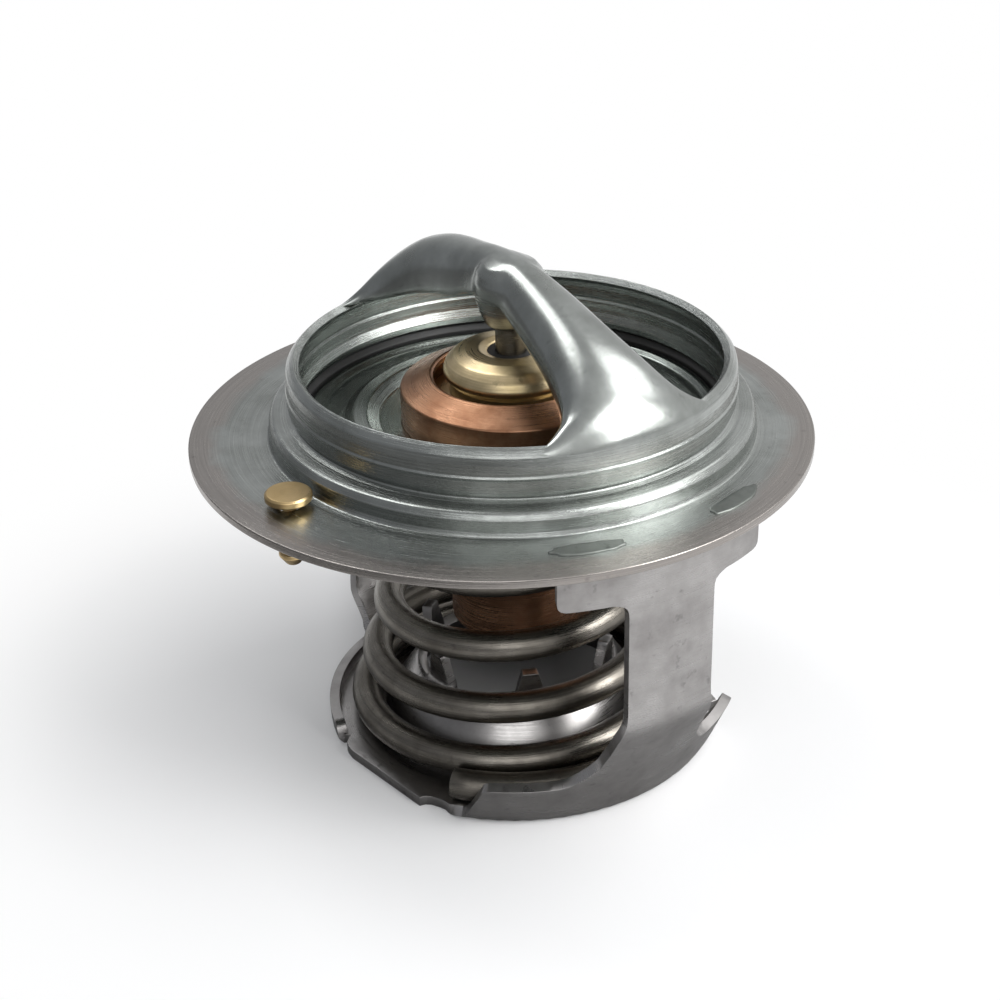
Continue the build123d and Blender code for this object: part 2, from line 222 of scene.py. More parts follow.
def ring_faces(rings: int, sides: int, base: int = 0) -> list[tuple[int, ...]]:
    """Faces between rings of points that follow each other.

    Args:
        rings: number of rings.
        sides: number of points in a ring.
        base: number of the first point.

    Returns:
        The faces.
    """
    faces: list[tuple[int, ...]] = []
    for ring in range(rings - 1):
        a, b = base + ring * sides, base + (ring + 1) * sides
        for side in range(sides):
            after = (side + 1) % sides
            faces.append((a + side, a + after, b + after, b + side))
    return faces


def bake_modifiers(thing: bpy.types.Object) -> None:
    """Replace an object's mesh by its evaluated one and drop its modifiers.

    Args:
        thing: the object to settle.
    """
    bpy.context.view_layer.update()
    graph = bpy.context.evaluated_depsgraph_get()
    mesh = bpy.data.meshes.new_from_object(thing.evaluated_get(graph))
    thing.modifiers.clear()
    thing.data = mesh


def soften_edges(thing: bpy.types.Object, width: float, segments: int = 2, sharp: float = 40.0) -> None:
    """Round the sharp edges of a sheet and keep its faces evenly shaded.

    Args:
        thing: the object to work on.
        width: width of the rounding in millimetres.
        segments: number of segments in the rounding.
        sharp: angle in degrees from which an edge is sharp.
    """
    bevel = thing.modifiers.new("edge", "BEVEL")
    bevel.width = width * MM
    bevel.segments = segments
    bevel.limit_method = "ANGLE"
    bevel.angle_limit = math.radians(sharp)
    weighted = thing.modifiers.new("normals", "WEIGHTED_NORMAL")
    weighted.mode = "FACE_AREA"
    bake_modifiers(thing)


@dataclass
class Lathe:
    """Closed profile turned about an upright axis.

    Attributes:
        name: name of the object.
        corners: radius, height and fillet of each corner of the profile, in millimetres.
        centre: place of the axis in plan, in millimetres.
        segments: number of steps round the axis.
        reach: optional change of a point's radius with its direction.
        fillet_steps: number of segments in each fillet.
    """

    name: str
    corners: Sequence[Corner]
    centre: Point = (0.0, VALVE_Y)
    segments: int = 192
    reach: Callable[[float, float], float] | None = None
    fillet_steps: int = 5

    def build(self) -> bpy.types.Object:
        """Make the turned mesh.

        Returns:
            The new object.
        """
        profile = rounded(self.corners, self.fillet_steps)
        lengths = [0.0]
        for (r0, z0), (r1, z1) in zip(profile, profile[1:]):
            lengths.append(lengths[-1] + math.hypot(r1 - r0, z1 - z0))
        points, along, faces = [], [], []
        count = len(profile)
        for step in range(self.segments):
            angle = 2 * math.pi * step / self.segments
            for (r, z), length in zip(profile, lengths):
                radius = self.reach(r, angle) if self.reach else r
                points.append((self.centre[0] + radius * math.cos(angle),
                               self.centre[1] + radius * math.sin(angle), z))
                along.append(length)
        for step in range(self.segments):
            here, there = step * count, (step + 1) % self.segments * count
            for index in range(count):
                after = (index + 1) % count
                faces.append((here + index, there + index, there + after, here + after))
        return make_mesh(self.name, np.array(points), faces, along)


@dataclass
class SheetPath:
    """Path of a sheet's outer face in a half plane through the valve's axis.

    Attributes:
        corners: radius, height and fillet of each corner, from the inside outwards.
        start: distance given to the path's first point.
        step: half the distance over which the path's direction is taken.
        points: radius and height of the points that divide the path.
        lengths: distance of each of these points along the path.
    """

    corners: Sequence[Corner]
    start: float = 0.0
    fillet_steps: int = 8
    step: float = 0.12
    points: np.ndarray = field(init=False)
    lengths: np.ndarray = field(init=False)

    def __post_init__(self) -> None:
        """Divide the path finely and measure the distance along it."""
        first, last = self.corners[0], self.corners[-1]
        inner = [(first[0], first[1], 0.0), *self.corners[1:-1], (last[0], last[1], 0.0)]
        dense = np.array(rounded(inner, self.fillet_steps))
        steps = np.linalg.norm(np.diff(dense, axis=0), axis=1)
        self.points = dense
        self.lengths = self.start + np.concatenate([[0.0], np.cumsum(steps)])

    def at(self, distance: np.ndarray) -> tuple[np.ndarray, np.ndarray]:
        """Points and inward normals at distances along the path.

        Args:
            distance: distances in millimetres.

        Returns:
            Positions and unit normals in radius and height.
        """
        place = self._place(distance)
        tangent = self._place(distance + self.step) - self._place(distance - self.step)
        tangent /= np.maximum(np.linalg.norm(tangent, axis=1, keepdims=True), 1e-9)
        return place, np.stack([-tangent[:, 1], tangent[:, 0]], axis=1)

    def _place(self, distance: np.ndarray) -> np.ndarray:
        """Position on the path, carried on straight beyond its ends.

        Args:
            distance: distances in millimetres.

        Returns:
            Radius and height at each distance.
        """
        r = np.interp(distance, self.lengths, self.points[:, 0])
        z = np.interp(distance, self.lengths, self.points[:, 1])
        place = np.stack([r, z], axis=1)
        for end, index, other in ((self.lengths[-1], -1, -2), (self.lengths[0], 0, 1)):
            way = self.points[index] - self.points[other]
            way = way / np.linalg.norm(way)
            beyond = distance - end if index == -1 else end - distance
            place += np.maximum(beyond, 0)[:, None] * way
        return place

    def distance_at_height(self, z: float) -> float:
        """Distance along the outer, rising part of the path.

        Args:
            z: height in millimetres.

        Returns:
            The distance at that height.
        """
        rising = self.points[:, 1]
        low = int(np.argmin(rising))
        last = np.flatnonzero(np.isclose(rising, rising[low], atol=1e-6))[-1]
        return float(np.interp(z, rising[last:], self.lengths[last:]))


@dataclass
class Cage:
    """Lower stamping: legs, low walls, lips, floor, raised cone and petals in one sheet.

    The sheet is drawn flat first, by angle round the valve's axis and distance along the sheet from the
    floor's outer circle. Directions are degrees from the first leg's middle, and near is the camera's
    side. A lip is given by the ends of its straight edge in plan, a notch and lip_end by direction and
    radius, upstand by direction and height past upstand_top, head and flares by lateral distance and
    height, and marks by lateral distance, height, radius and depth. petal_side holds degrees from a
    petal's middle, distance past its root or tip, and whether it is the tip. A blend or start is where
    one section becomes the next, and a fade is how many degrees that takes. The clearance between grid
    and outline is a share of the spacing, scale is the length of a radian in the flat grid, and lift is
    the height of the sheet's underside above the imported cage's bottom.
    """

    name: str = "cage_sheet"
    spacing: float = 0.75
    clearance: float = 0.55
    scale: float = 19.0
    edge: float = 0.13
    lift: float = 0.004

    floor_radius: float = 16.9
    upstand_top: float = -28.75
    near_lip: Sequence[Point] = ((9.2, 16.2), (-0.7, 17.9))
    near_notch: Sequence[Point] = ((47.4, 19.1), (48.6, 19.05), (50.9, 18.7), (53.0, 18.2), (54.9, 18.05),
                                   (57.7, 18.0), (59.3, 18.2))
    near_blend: float = 50.5
    far_lip: Sequence[Point] = ((11.4, 15.7), (-0.7, 17.9))
    far_notch: Sequence[Point] = ((46.6, 18.9), (47.6, 18.4), (49.0, 18.2), (50.8, 18.2), (52.4, 18.5))
    far_blend: float = 47.0
    lip_end: Sequence[Point] = ((95.0, 17.9), (96.8, 17.8), (98.6, 17.4), (100.2, 17.0))
    upstand: Sequence[Point] = ((101.2, -1.5), (102.0, -0.5), (103.6, -0.08), (115.0, 0.0), (130.0, 0.1),
                                (145.0, 0.05), (154.0, 0.0))

    head: Sequence[Point] = (
        (10.2, -SHEET), (10.2, -4.55), (10.13, -4.95), (9.9, -5.22), (9.5, -5.35), (5.75, -5.36),
        (5.2, -5.5), (4.8, -5.67), (4.52, -5.92), (4.37, -6.3), (4.32, -6.8), (4.32, -16.6),
    )
    first_flare: Sequence[Point] = (
        (4.4, -17.5), (4.6, -18.3), (4.78, -19.6), (4.88, -21.5), (5.14, -23.2), (5.7, -24.2),
        (6.35, -24.95), (7.05, -25.5), (7.9, -25.77), (8.9, -25.8), (13.3, -25.82), (13.6, -26.05),
        (13.68, -26.84), (13.83, -28.5), (13.88, -29.5),
    )
    second_flare: Sequence[Point] = (
        (4.4, -17.5), (4.85, -18.8), (5.4, -20.2), (6.1, -21.9), (6.75, -23.4), (7.2, -24.3), (7.6, -25.3),
        (7.82, -26.2), (8.0, -27.3), (8.1, -28.3),
    )

    petals: int = 6
    petal_start: float = -24.0
    petal_root: float = -24.9
    petal_side: Sequence[tuple[float, float, bool]] = (
        (13.0, 0.25, False), (11.4, 0.0, False), (10.2, -0.5, False), (5.2, 0.35, True), (4.4, 0.0, True),
    )

    lip_fade: float = 3.0
    rise_start: float = 98.5
    rise_fade: float = 2.5
    leg_start: float = 153.5
    leg_fade: float = 6.0
    marks: Sequence[tuple[float, float, float, float]] = (
        (0.6, -15.2, 1.1, 0.22), (-8.7, -3.4, 0.55, 0.2), (8.7, -3.4, 0.55, 0.2),
    )

    hub_path: SheetPath = field(init=False)
    leg_path: SheetPath = field(init=False)
    lip_path: SheetPath = field(init=False)
    rise_path: SheetPath = field(init=False)

    def __post_init__(self) -> None:
        """Set the four sections that the flat sheet is bent onto."""
        low = CAGE_BOTTOM + self.lift
        start = (self.floor_radius, low, 0.0)
        self.hub_path = SheetPath([(8.6, -21.2, 0), (8.3, -24.6, 1.4), (12.3, low, 1.0), start])
        self.hub_path.lengths -= self.hub_path.lengths[-1]
        self.leg_path = SheetPath([start, (18.95, low, 0.9), (19.7, -29.3, 1.5), (21.2, -25.8, 4.0),
                                   (LEG_RADIUS, -18.3, 3.5), (LEG_RADIUS, -SHEET, 0)])
        self.lip_path = SheetPath([start, (18.6, low, 3.0), (22.0, low + 0.25, 0)])
        self.rise_path = SheetPath([start, (18.15, low, 0.8), (18.25, self.upstand_top + 0.2, 0)])

    def build(self) -> bpy.types.Object:
        """Make the cage from its flat outline, bent onto the formed shape.

        Returns:
            The new object.
        """
        flat, triangles, rim = self._triangulate(self._boundary())
        points = np.vstack([self._bend(flat, 0.0), self._bend(flat, CAGE_SHEET)])
        count = len(flat)
        faces = [tuple(face) for face in triangles]
        faces += [tuple(count + index for index in reversed(face)) for face in triangles]
        faces += [(a, b, count + b, count + a) for a, b in rim]
        along = np.concatenate([flat[:, 1], flat[:, 1]])
        thing = make_mesh(self.name, points, faces, along, weld=0.004)
        soften_edges(thing, self.edge)
        return thing

    def _polar(self, lateral: float, height: float, second: bool) -> Point:
        """Flat coordinates of a point of a leg's edge.

        Args:
            lateral: distance from the leg's middle.
            height: height of the point.
            second: whether it is on the second leg.

        Returns:
            Angle in radians and distance along the sheet.
        """
        distance = self.leg_path.distance_at_height(height)
        radius = float(self.leg_path.at(np.array([distance]))[0][0][0])
        angle = math.asin(min(lateral / radius, 1.0))
        return (math.pi - angle if second else angle, distance)

    def _floor(self, degrees: float, radius: float) -> Point:
        """Flat coordinates of a point of the floor's edge."""
        return (math.radians(degrees), radius - self.floor_radius)

    def _half_outline(self, lip: Sequence[Point], notch: Sequence[Point]) -> list[Point]:
        """Outer edge of the sheet from the first leg's middle to the second's.

        Args:
            lip: ends of the lip's straight edge in plan.
            notch: direction and radius of each point of the notch.

        Returns:
            The edge in flat coordinates.
        """
        top = self.leg_path.distance_at_height(-SHEET)
        outline = [(0.0, top)]
        outline += [self._polar(lateral, height, False) for lateral, height in self.head + self.first_flare]
        outline += [self._floor(degrees, radius) for degrees, radius in notch]
        for share in np.linspace(0, 1, 14):
            x = lip[0][0] + share * (lip[1][0] - lip[0][0])
            y = lip[0][1] + share * (lip[1][1] - lip[0][1])
            outline.append(self._floor(math.degrees(math.atan2(y, x)), math.hypot(x, y)))
        outline += [self._floor(degrees, radius) for degrees, radius in self.lip_end]
        rise = self.rise_path.distance_at_height(self.upstand_top)
        outline += [(math.radians(degrees), rise + lift) for degrees, lift in self.upstand]
        for part in (self.second_flare, self.head):
            outline += [self._polar(lateral, height, True) for lateral, height in reversed(part)]
        outline.append((math.pi, top))
        return outline

    def _inner_edge(self) -> list[Point]:
        """Inner edge with its petals, from +180 to -180 degrees.

        Returns:
            The edge in flat coordinates.
        """
        hub = self.hub_path
        root = float(np.interp(self.petal_root, hub.points[::-1, 1], hub.lengths[::-1]))
        tip = float(hub.lengths[0])
        rising = [(offset, (tip if at_tip else root) + past) for offset, past, at_tip in self.petal_side]
        falling = [(-offset, distance) for offset, distance in reversed(rising)]
        edge: list[Point] = []
        for number in range(self.petals):
            middle = self.petal_start + 360.0 / self.petals * (3 - number)
            edge += [(math.radians(middle + offset), distance) for offset, distance in rising + falling]
        return [(math.pi, rising[0][1]), *edge, (-math.pi, rising[0][1])]

    def _boundary(self) -> list[Point]:
        """Whole outline, divided finely.

        Returns:
            The outline in flat coordinates.
        """
        near = self._half_outline(self.near_lip, self.near_notch)
        far = self._half_outline(self.far_lip, self.far_notch)
        corners = [(-angle, distance) for angle, distance in reversed(near[1:])] + far + self._inner_edge()
        fine: list[Point] = []
        for (a0, d0), (a1, d1) in zip(corners, corners[1:] + corners[:1]):
            length = math.hypot((a1 - a0) * self.scale, d1 - d0)
            parts = max(1, math.ceil(length / self.spacing))
            fine += [(a0 + (a1 - a0) * k / parts, d0 + (d1 - d0) * k / parts) for k in range(parts)]
        return fine

    def _triangulate(self, boundary: list[Point]) -> tuple[np.ndarray, list[tuple[int, ...]],
                                                           list[tuple[int, int]]]:
        """Triangulate the flat outline with an even grid inside it.

        Args:
            boundary: the outline in flat coordinates.

        Returns:
            The points, the triangles and the edges of the rim without the seam.
        """
        edge = np.array([(angle * self.scale, distance) for angle, distance in boundary])
        width = math.pi * self.scale
        xs = np.linspace(-width, width, int(2 * width / self.spacing) + 1)[1:-1]
        ys = np.arange(edge[:, 1].min(), edge[:, 1].max(), self.spacing)
        grid = np.array([(x, y + (self.spacing / 2 if column % 2 else 0))
                         for column, x in enumerate(xs) for y in ys])
        gap = np.min(np.linalg.norm(grid[:, None, :] - edge[None, :, :], axis=2), axis=1)
        grid = grid[gap > self.clearance * self.spacing]
        flat = [Vector(point) for point in np.vstack([edge, grid]).tolist()]
        loop = list(range(len(edge)))
        verts, _, cells, _, _, _ = delaunay_2d_cdt(flat, [], [loop], 1, 1e-7)
        kept = sorted({index for cell in cells for index in cell})
        number = {old: new for new, old in enumerate(kept)}
        faces = [tuple(number[index] for index in cell) for cell in cells]
        placed = np.array([(verts[index].x / self.scale, verts[index].y) for index in kept])
        used: dict[tuple[int, int], int] = {}
        for face in faces:
            for a, b in zip(face, list(face[1:]) + [face[0]]):
                key = (min(a, b), max(a, b))
                used[key] = used.get(key, 0) + 1
        rim = []
        for (a, b), times in used.items():
            on_seam = abs(abs(placed[a][0]) - math.pi) < 1e-6 and abs(abs(placed[b][0]) - math.pi) < 1e-6
            if times == 1 and not on_seam:
                rim.append((a, b))
        return placed, faces, rim

    def _bend(self, flat: np.ndarray, depth: float) -> np.ndarray:
        """Place flat points on the formed sheet.

        Args:
            flat: angle and distance of each point.
            depth: depth under the sheet's outer face.

        Returns:
            The points in space.
        """
        angle, distance = flat[:, 0], flat[:, 1]
        degrees = np.abs(np.degrees(angle))
        shapes = []
        for path in (self.leg_path, self.lip_path, self.rise_path):
            place, normal = path.at(distance)
            shapes.append(place + depth * normal)
        blend = np.where(angle < 0, self.near_blend, self.far_blend)
        to_lip = np.clip((degrees - blend) / self.lip_fade, 0, 1)[:, None]
        to_rise = np.clip((degrees - self.rise_start) / self.rise_fade, 0, 1)[:, None]
        to_leg = ease(np.clip((degrees - self.leg_start) / self.leg_fade, 0, 1)[:, None])
        outer = shapes[0] * (1 - to_lip) + shapes[1] * to_lip
        outer = outer * (1 - to_rise) + shapes[2] * to_rise
        outer = outer * (1 - to_leg) + shapes[0] * to_leg
        place, normal = self.hub_path.at(distance)
        inner = place + depth * normal
        section = np.where((distance < 0)[:, None], inner, outer)
        dents = self._dents(angle, distance)
        radius = section[:, 0] - dents
        return np.stack([radius * np.cos(angle), VALVE_Y + radius * np.sin(angle), section[:, 1]], axis=1)

    def _dents(self, angle: np.ndarray, distance: np.ndarray) -> np.ndarray:
        """Depth of the small press marks in the legs.

        Args:
            angle: angle of each point in radians.
            distance: distance of each point along the sheet.

        Returns:
            The depth at each point.
        """
        total = np.zeros_like(angle)
        for side in (0.0, math.pi):
            for lateral, height, radius, depth in self.marks:
                where = self.leg_path.distance_at_height(height)
                turn = np.angle(np.exp(1j * (angle - side)))
                near = ((turn * LEG_RADIUS - lateral) ** 2 + (distance - where) ** 2) / radius**2
                total += depth * np.exp(-near)
        return total


@dataclass
class Bridge:
    """Arms over the collar's mouth, pressed from the collar's sheet.

    A station across the arms holds the radius at its middle and at its edges, its half width, the height
    of its crest and of its edges, its fullness and its shift along Y. The arms wrap the collar beyond
    wrap_start, and swell round the knob between knob_inner and knob_outer.

    Attributes:
        wall_along: distance along the collar's profile that its wall has at height zero.
        collar_top: height above which the forming marks follow the arms.
        straight_start: distance from the middle beyond which a station's edges lie as its radius says.
        knob: height and radius of the knob that holds the piston.
    """

    wall_along: float
    name: str = "bridge_sheet"
    rows: int = 240
    columns: int = 64
    edge: float = 0.12
    collar_top: float = 6.2
    straight_start: float = 3.0
    wrap_start: float = 15.0
    wrap_length: float = 4.0
    front: Sequence[Sequence[float]] = (
        (20.115, 20.115, 8.9, 4.75, 4.75, 2.0, 0.0),
        (20.11, 20.11, 8.8, 5.6, 5.6, 2.0, 0.0),
        (20.02, 19.93, 8.6, 6.35, 6.25, 2.0, 0.0),
        (19.8, 19.55, 8.2, 7.0, 6.7, 2.0, 0.05),
        (19.35, 19.1, 7.6, 7.9, 6.85, 2.0, 0.1),
        (18.6, 18.5, 6.9, 8.9, 6.95, 2.0, 0.15),
        (17.5, 17.7, 6.1, 9.9, 7.1, 2.0, 0.25),
        (15.9, 16.4, 5.25, 11.0, 7.5, 2.1, 0.3),
        (13.6, 14.2, 4.45, 12.1, 8.4, 2.2, 0.3),
        (10.5, 11.1, 3.75, 13.25, 9.5, 2.2, 0.3),
        (7.0, 7.65, 3.2, 14.4, 10.7, 2.2, 0.25),
        (3.4, 4.3, 2.65, 15.4, 11.9, 2.2, 0.1),
    )
    crown: Sequence[float] = (0.0, 2.1, 2.1, 15.97, 12.6, 2.2, 0.0)
    back: Sequence[Sequence[float]] = (
        (-2.8, -3.8, 2.4, 15.8, 11.9, 2.2, 0.0),
        (-5.5, -6.1, 2.7, 15.4, 10.9, 2.2, 0.0),
        (-8.3, -8.8, 3.0, 15.0, 10.2, 2.2, 0.0),
        (-11.0, -11.5, 3.4, 14.4, 9.4, 2.2, 0.0),
        (-13.8, -14.3, 4.1, 13.4, 8.3, 2.1, 0.0),
        (-16.0, -16.4, 5.0, 12.1, 7.5, 2.0, 0.0),
        (-17.6, -17.8, 6.0, 10.6, 7.1, 2.0, 0.0),
        (-18.7, -18.7, 7.0, 8.9, 6.9, 2.0, 0.0),
        (-19.35, -19.3, 7.8, 7.6, 6.8, 2.0, 0.0),
        (-19.8, -19.65, 8.3, 6.9, 6.6, 2.0, 0.0),
        (-20.02, -19.93, 8.6, 6.35, 6.25, 2.0, 0.0),
        (-20.11, -20.11, 8.8, 5.6, 5.6, 2.0, 0.0),
        (-20.115, -20.115, 8.9, 4.75, 4.75, 2.0, 0.0),
    )

    knob: Sequence[Point] = ((9.0, 2.4), (10.8, 2.8), (12.0, 3.1), (13.6, 3.1), (14.5, 2.85), (15.2, 2.3),
                             (15.7, 1.5), (15.97, 0.0))
    knob_blend: float = 0.4
    knob_inner: float = 0.6
    knob_inner_fade: float = 0.9
    knob_outer: float = 5.5
    knob_outer_fade: float = 2.0

    def build(self) -> bpy.types.Object:
        """Make the arms as one sheet.

        Returns:
            The new object.
        """
        outer = self._surface()
        inner = outer - SHEET * self._normals(outer)
        rows, columns, _ = outer.shape
        points = np.vstack([outer.reshape(-1, 3), inner.reshape(-1, 3)])
        size = rows * columns
        faces = []
        for row in range(rows - 1):
            for column in range(columns - 1):
                a = row * columns + column
                faces.append((a, a + 1, a + columns + 1, a + columns))
                faces.append((size + a, size + a + columns, size + a + columns + 1, size + a + 1))
        border = [row * columns for row in range(rows)]
        border += [(rows - 1) * columns + column for column in range(1, columns)]
        border += [row * columns + columns - 1 for row in range(rows - 2, -1, -1)]
        border += [column for column in range(columns - 2, 0, -1)]
        for a, b in zip(border, border[1:] + border[:1]):
            faces.append((a, b, size + b, size + a))
        along = self.wall_along - np.minimum(points[:, 2], self.collar_top)
        thing = make_mesh(self.name, points, faces, along)
        soften_edges(thing, self.edge)
        return thing

    def _surface(self) -> np.ndarray:
        """Outer face of the arms, which wrap the collar at both ends.

        Returns:
            Rows of points across the arms.
        """
        stations = smooth_path([*self.front, self.crown, *self.back], self.rows)
        grid = []
        for middle, rim, half, crest, low, power, shift in stations:
            sign = math.copysign(1.0, middle)
            straight = abs(middle)
            if straight > self.straight_start:
                straight = math.sqrt(max(rim * rim - half * half, 0.0))
            wrapped = ease(min(max((abs(middle) - self.wrap_start) / self.wrap_length, 0.0), 1.0))
            row = []
            for column in range(self.columns):
                turn = math.pi * (column / (self.columns - 1) - 0.5)
                across = half * math.copysign(abs(math.sin(turn)) ** (2 / power), math.sin(turn))
                rise = abs(math.cos(turn)) ** (2 / power)
                flat = straight + (abs(middle) - straight) * rise
                reach = abs(rim) + (abs(middle) - abs(rim)) * rise
                round_in_plan = math.sqrt(max(reach * reach - across * across, 0.0))
                x = flat * (1 - wrapped) + round_in_plan * wrapped
                row.append((sign * x, VALVE_Y + shift + across, low + (crest - low) * rise))
            grid.append(row)
        return self._round_knob(np.array(grid))

    def _round_knob(self, grid: np.ndarray) -> np.ndarray:
        """Swell the middle of the arms round the knob.

        Args:
            grid: rows of points.

        Returns:
            The changed rows.
        """
        heights, radii = np.array(self.knob).T
        plan = grid[..., :2] - (0.0, VALVE_Y)
        reach = np.maximum(np.linalg.norm(plan, axis=2), 1e-6)
        excess = reach - np.interp(grid[..., 2], heights, radii)
        swollen = reach - excess + 0.5 * (excess + np.sqrt(excess**2 + self.knob_blend**2))
        share = np.clip((reach - self.knob_inner) / self.knob_inner_fade, 0, 1)
        share = share * np.clip((self.knob_outer - reach) / self.knob_outer_fade, 0, 1)
        scale = 1 + share * (swollen / reach - 1)
        return np.dstack([plan * scale[..., None] + (0.0, VALVE_Y), grid[..., 2]])

    def _normals(self, grid: np.ndarray) -> np.ndarray:
        """Outward normals of the grid.

        Args:
            grid: rows of points.

        Returns:
            A unit vector for each point.
        """
        along = np.gradient(grid, axis=0)
        across = np.gradient(grid, axis=1)
        normal = np.cross(along, across)
        normal /= np.maximum(np.linalg.norm(normal, axis=2, keepdims=True), 1e-9)
        middle = normal[self.rows // 2, self.columns // 2]
        return normal if middle[2] > 0 else -normal


@dataclass
class Coil:
    """Conical spring of round wire with closed, cut ends.

    Attributes:
        start: direction of the lower end in degrees.
        turns: turn, radius and height of the wire's middle.
        smoothing: number of points over which this table is smoothed.
        end_sizes: share of the wire's radius of the rings that round a cut end.
        girth: distance round the wire that the forming marks count.
    """

    name: str = "spring_coil"
    wire: float = WIRE_RADIUS
    start: float = -51.8
    steps: int = 64
    sides: int = 24
    turns: Sequence[Corner] = (
        (0.0, 17.2, COIL_LOW), (0.2, 16.7, COIL_LOW), (0.4, 15.7, COIL_LOW), (0.6, 15.0, COIL_LOW),
        (0.8, 14.6, COIL_LOW + 0.05), (1.05, 14.3, -27.35), (2.05, 13.05, -22.4), (3.05, 11.7, -16.7),
        (4.0, 10.45, -11.0), (5.0, 9.4, -4.9), (5.55, 9.0, COIL_HIGH), (5.9, 9.0, COIL_HIGH),
    )
    smoothing: int = 13
    end_sizes: Point = (0.78, 0.93)
    end_shifts: Point = (0.0, 0.06)
    end_inset: float = 0.2
    girth: float = 3.0

    def build(self) -> bpy.types.Object:
        """Make the coil.

        Returns:
            The new object.
        """
        table = np.array(self.turns)
        count = int(self.turns[-1][0] * self.steps)
        places = np.linspace(0, self.turns[-1][0], count + 1)
        radius = self._ease(places, table[:, 0], table[:, 1])
        height = self._ease(places, table[:, 0], table[:, 2])
        angle = np.radians(self.start) + 2 * math.pi * places
        line = np.stack([radius * np.cos(angle), VALVE_Y + radius * np.sin(angle), height], axis=1)
        tangent = np.gradient(line, axis=0)
        tangent /= np.linalg.norm(tangent, axis=1, keepdims=True)
        outward = np.stack([np.cos(angle), np.sin(angle), np.zeros_like(angle)], axis=1)
        up = np.cross(outward, tangent)
        up /= np.linalg.norm(up, axis=1, keepdims=True)
        side = np.cross(tangent, up)
        body = [(index, 1.0) for index in range(len(line))]
        rings = [(0, size) for size in self.end_sizes] + body
        rings += [(-1, size) for size in reversed(self.end_sizes)]
        inset = [self.end_inset] + [0.0] * (len(line) - 2) + [-self.end_inset]
        shifts = [*self.end_shifts, *inset, *[-shift for shift in reversed(self.end_shifts)]]
        points, along = [], []
        for (index, size), shift in zip(rings, shifts):
            for step in range(self.sides):
                turn = 2 * math.pi * step / self.sides
                out = math.cos(turn) * side[index] + math.sin(turn) * up[index]
                points.append(line[index] + shift * tangent[index] + self.wire * size * out)
                along.append(self.girth * abs(step / self.sides - 0.5))
        faces = ring_faces(len(rings), self.sides)
        faces.append(tuple(range(self.sides)))
        last = (len(rings) - 1) * self.sides
        faces.append(tuple(last + step for step in reversed(range(self.sides))))
        return make_mesh(self.name, np.array(points), faces, along)

    def _ease(self, places: np.ndarray, knots: np.ndarray, values: np.ndarray) -> np.ndarray:
        """Smooth interpolation of table values, without steps in slope.

        Args:
            places: where the values are wanted.
            knots: places of the table.
            values: values of the table.

        Returns:
            A value for each place.
        """
        plain = np.interp(places, knots, values)
        kernel = np.hanning(self.smoothing + 2)[1:-1]
        kernel /= kernel.sum()
        margin = self.smoothing // 2
        padded = np.concatenate([np.full(margin, plain[0]), plain, np.full(margin, plain[-1])])
        return np.convolve(padded, kernel, "valid")


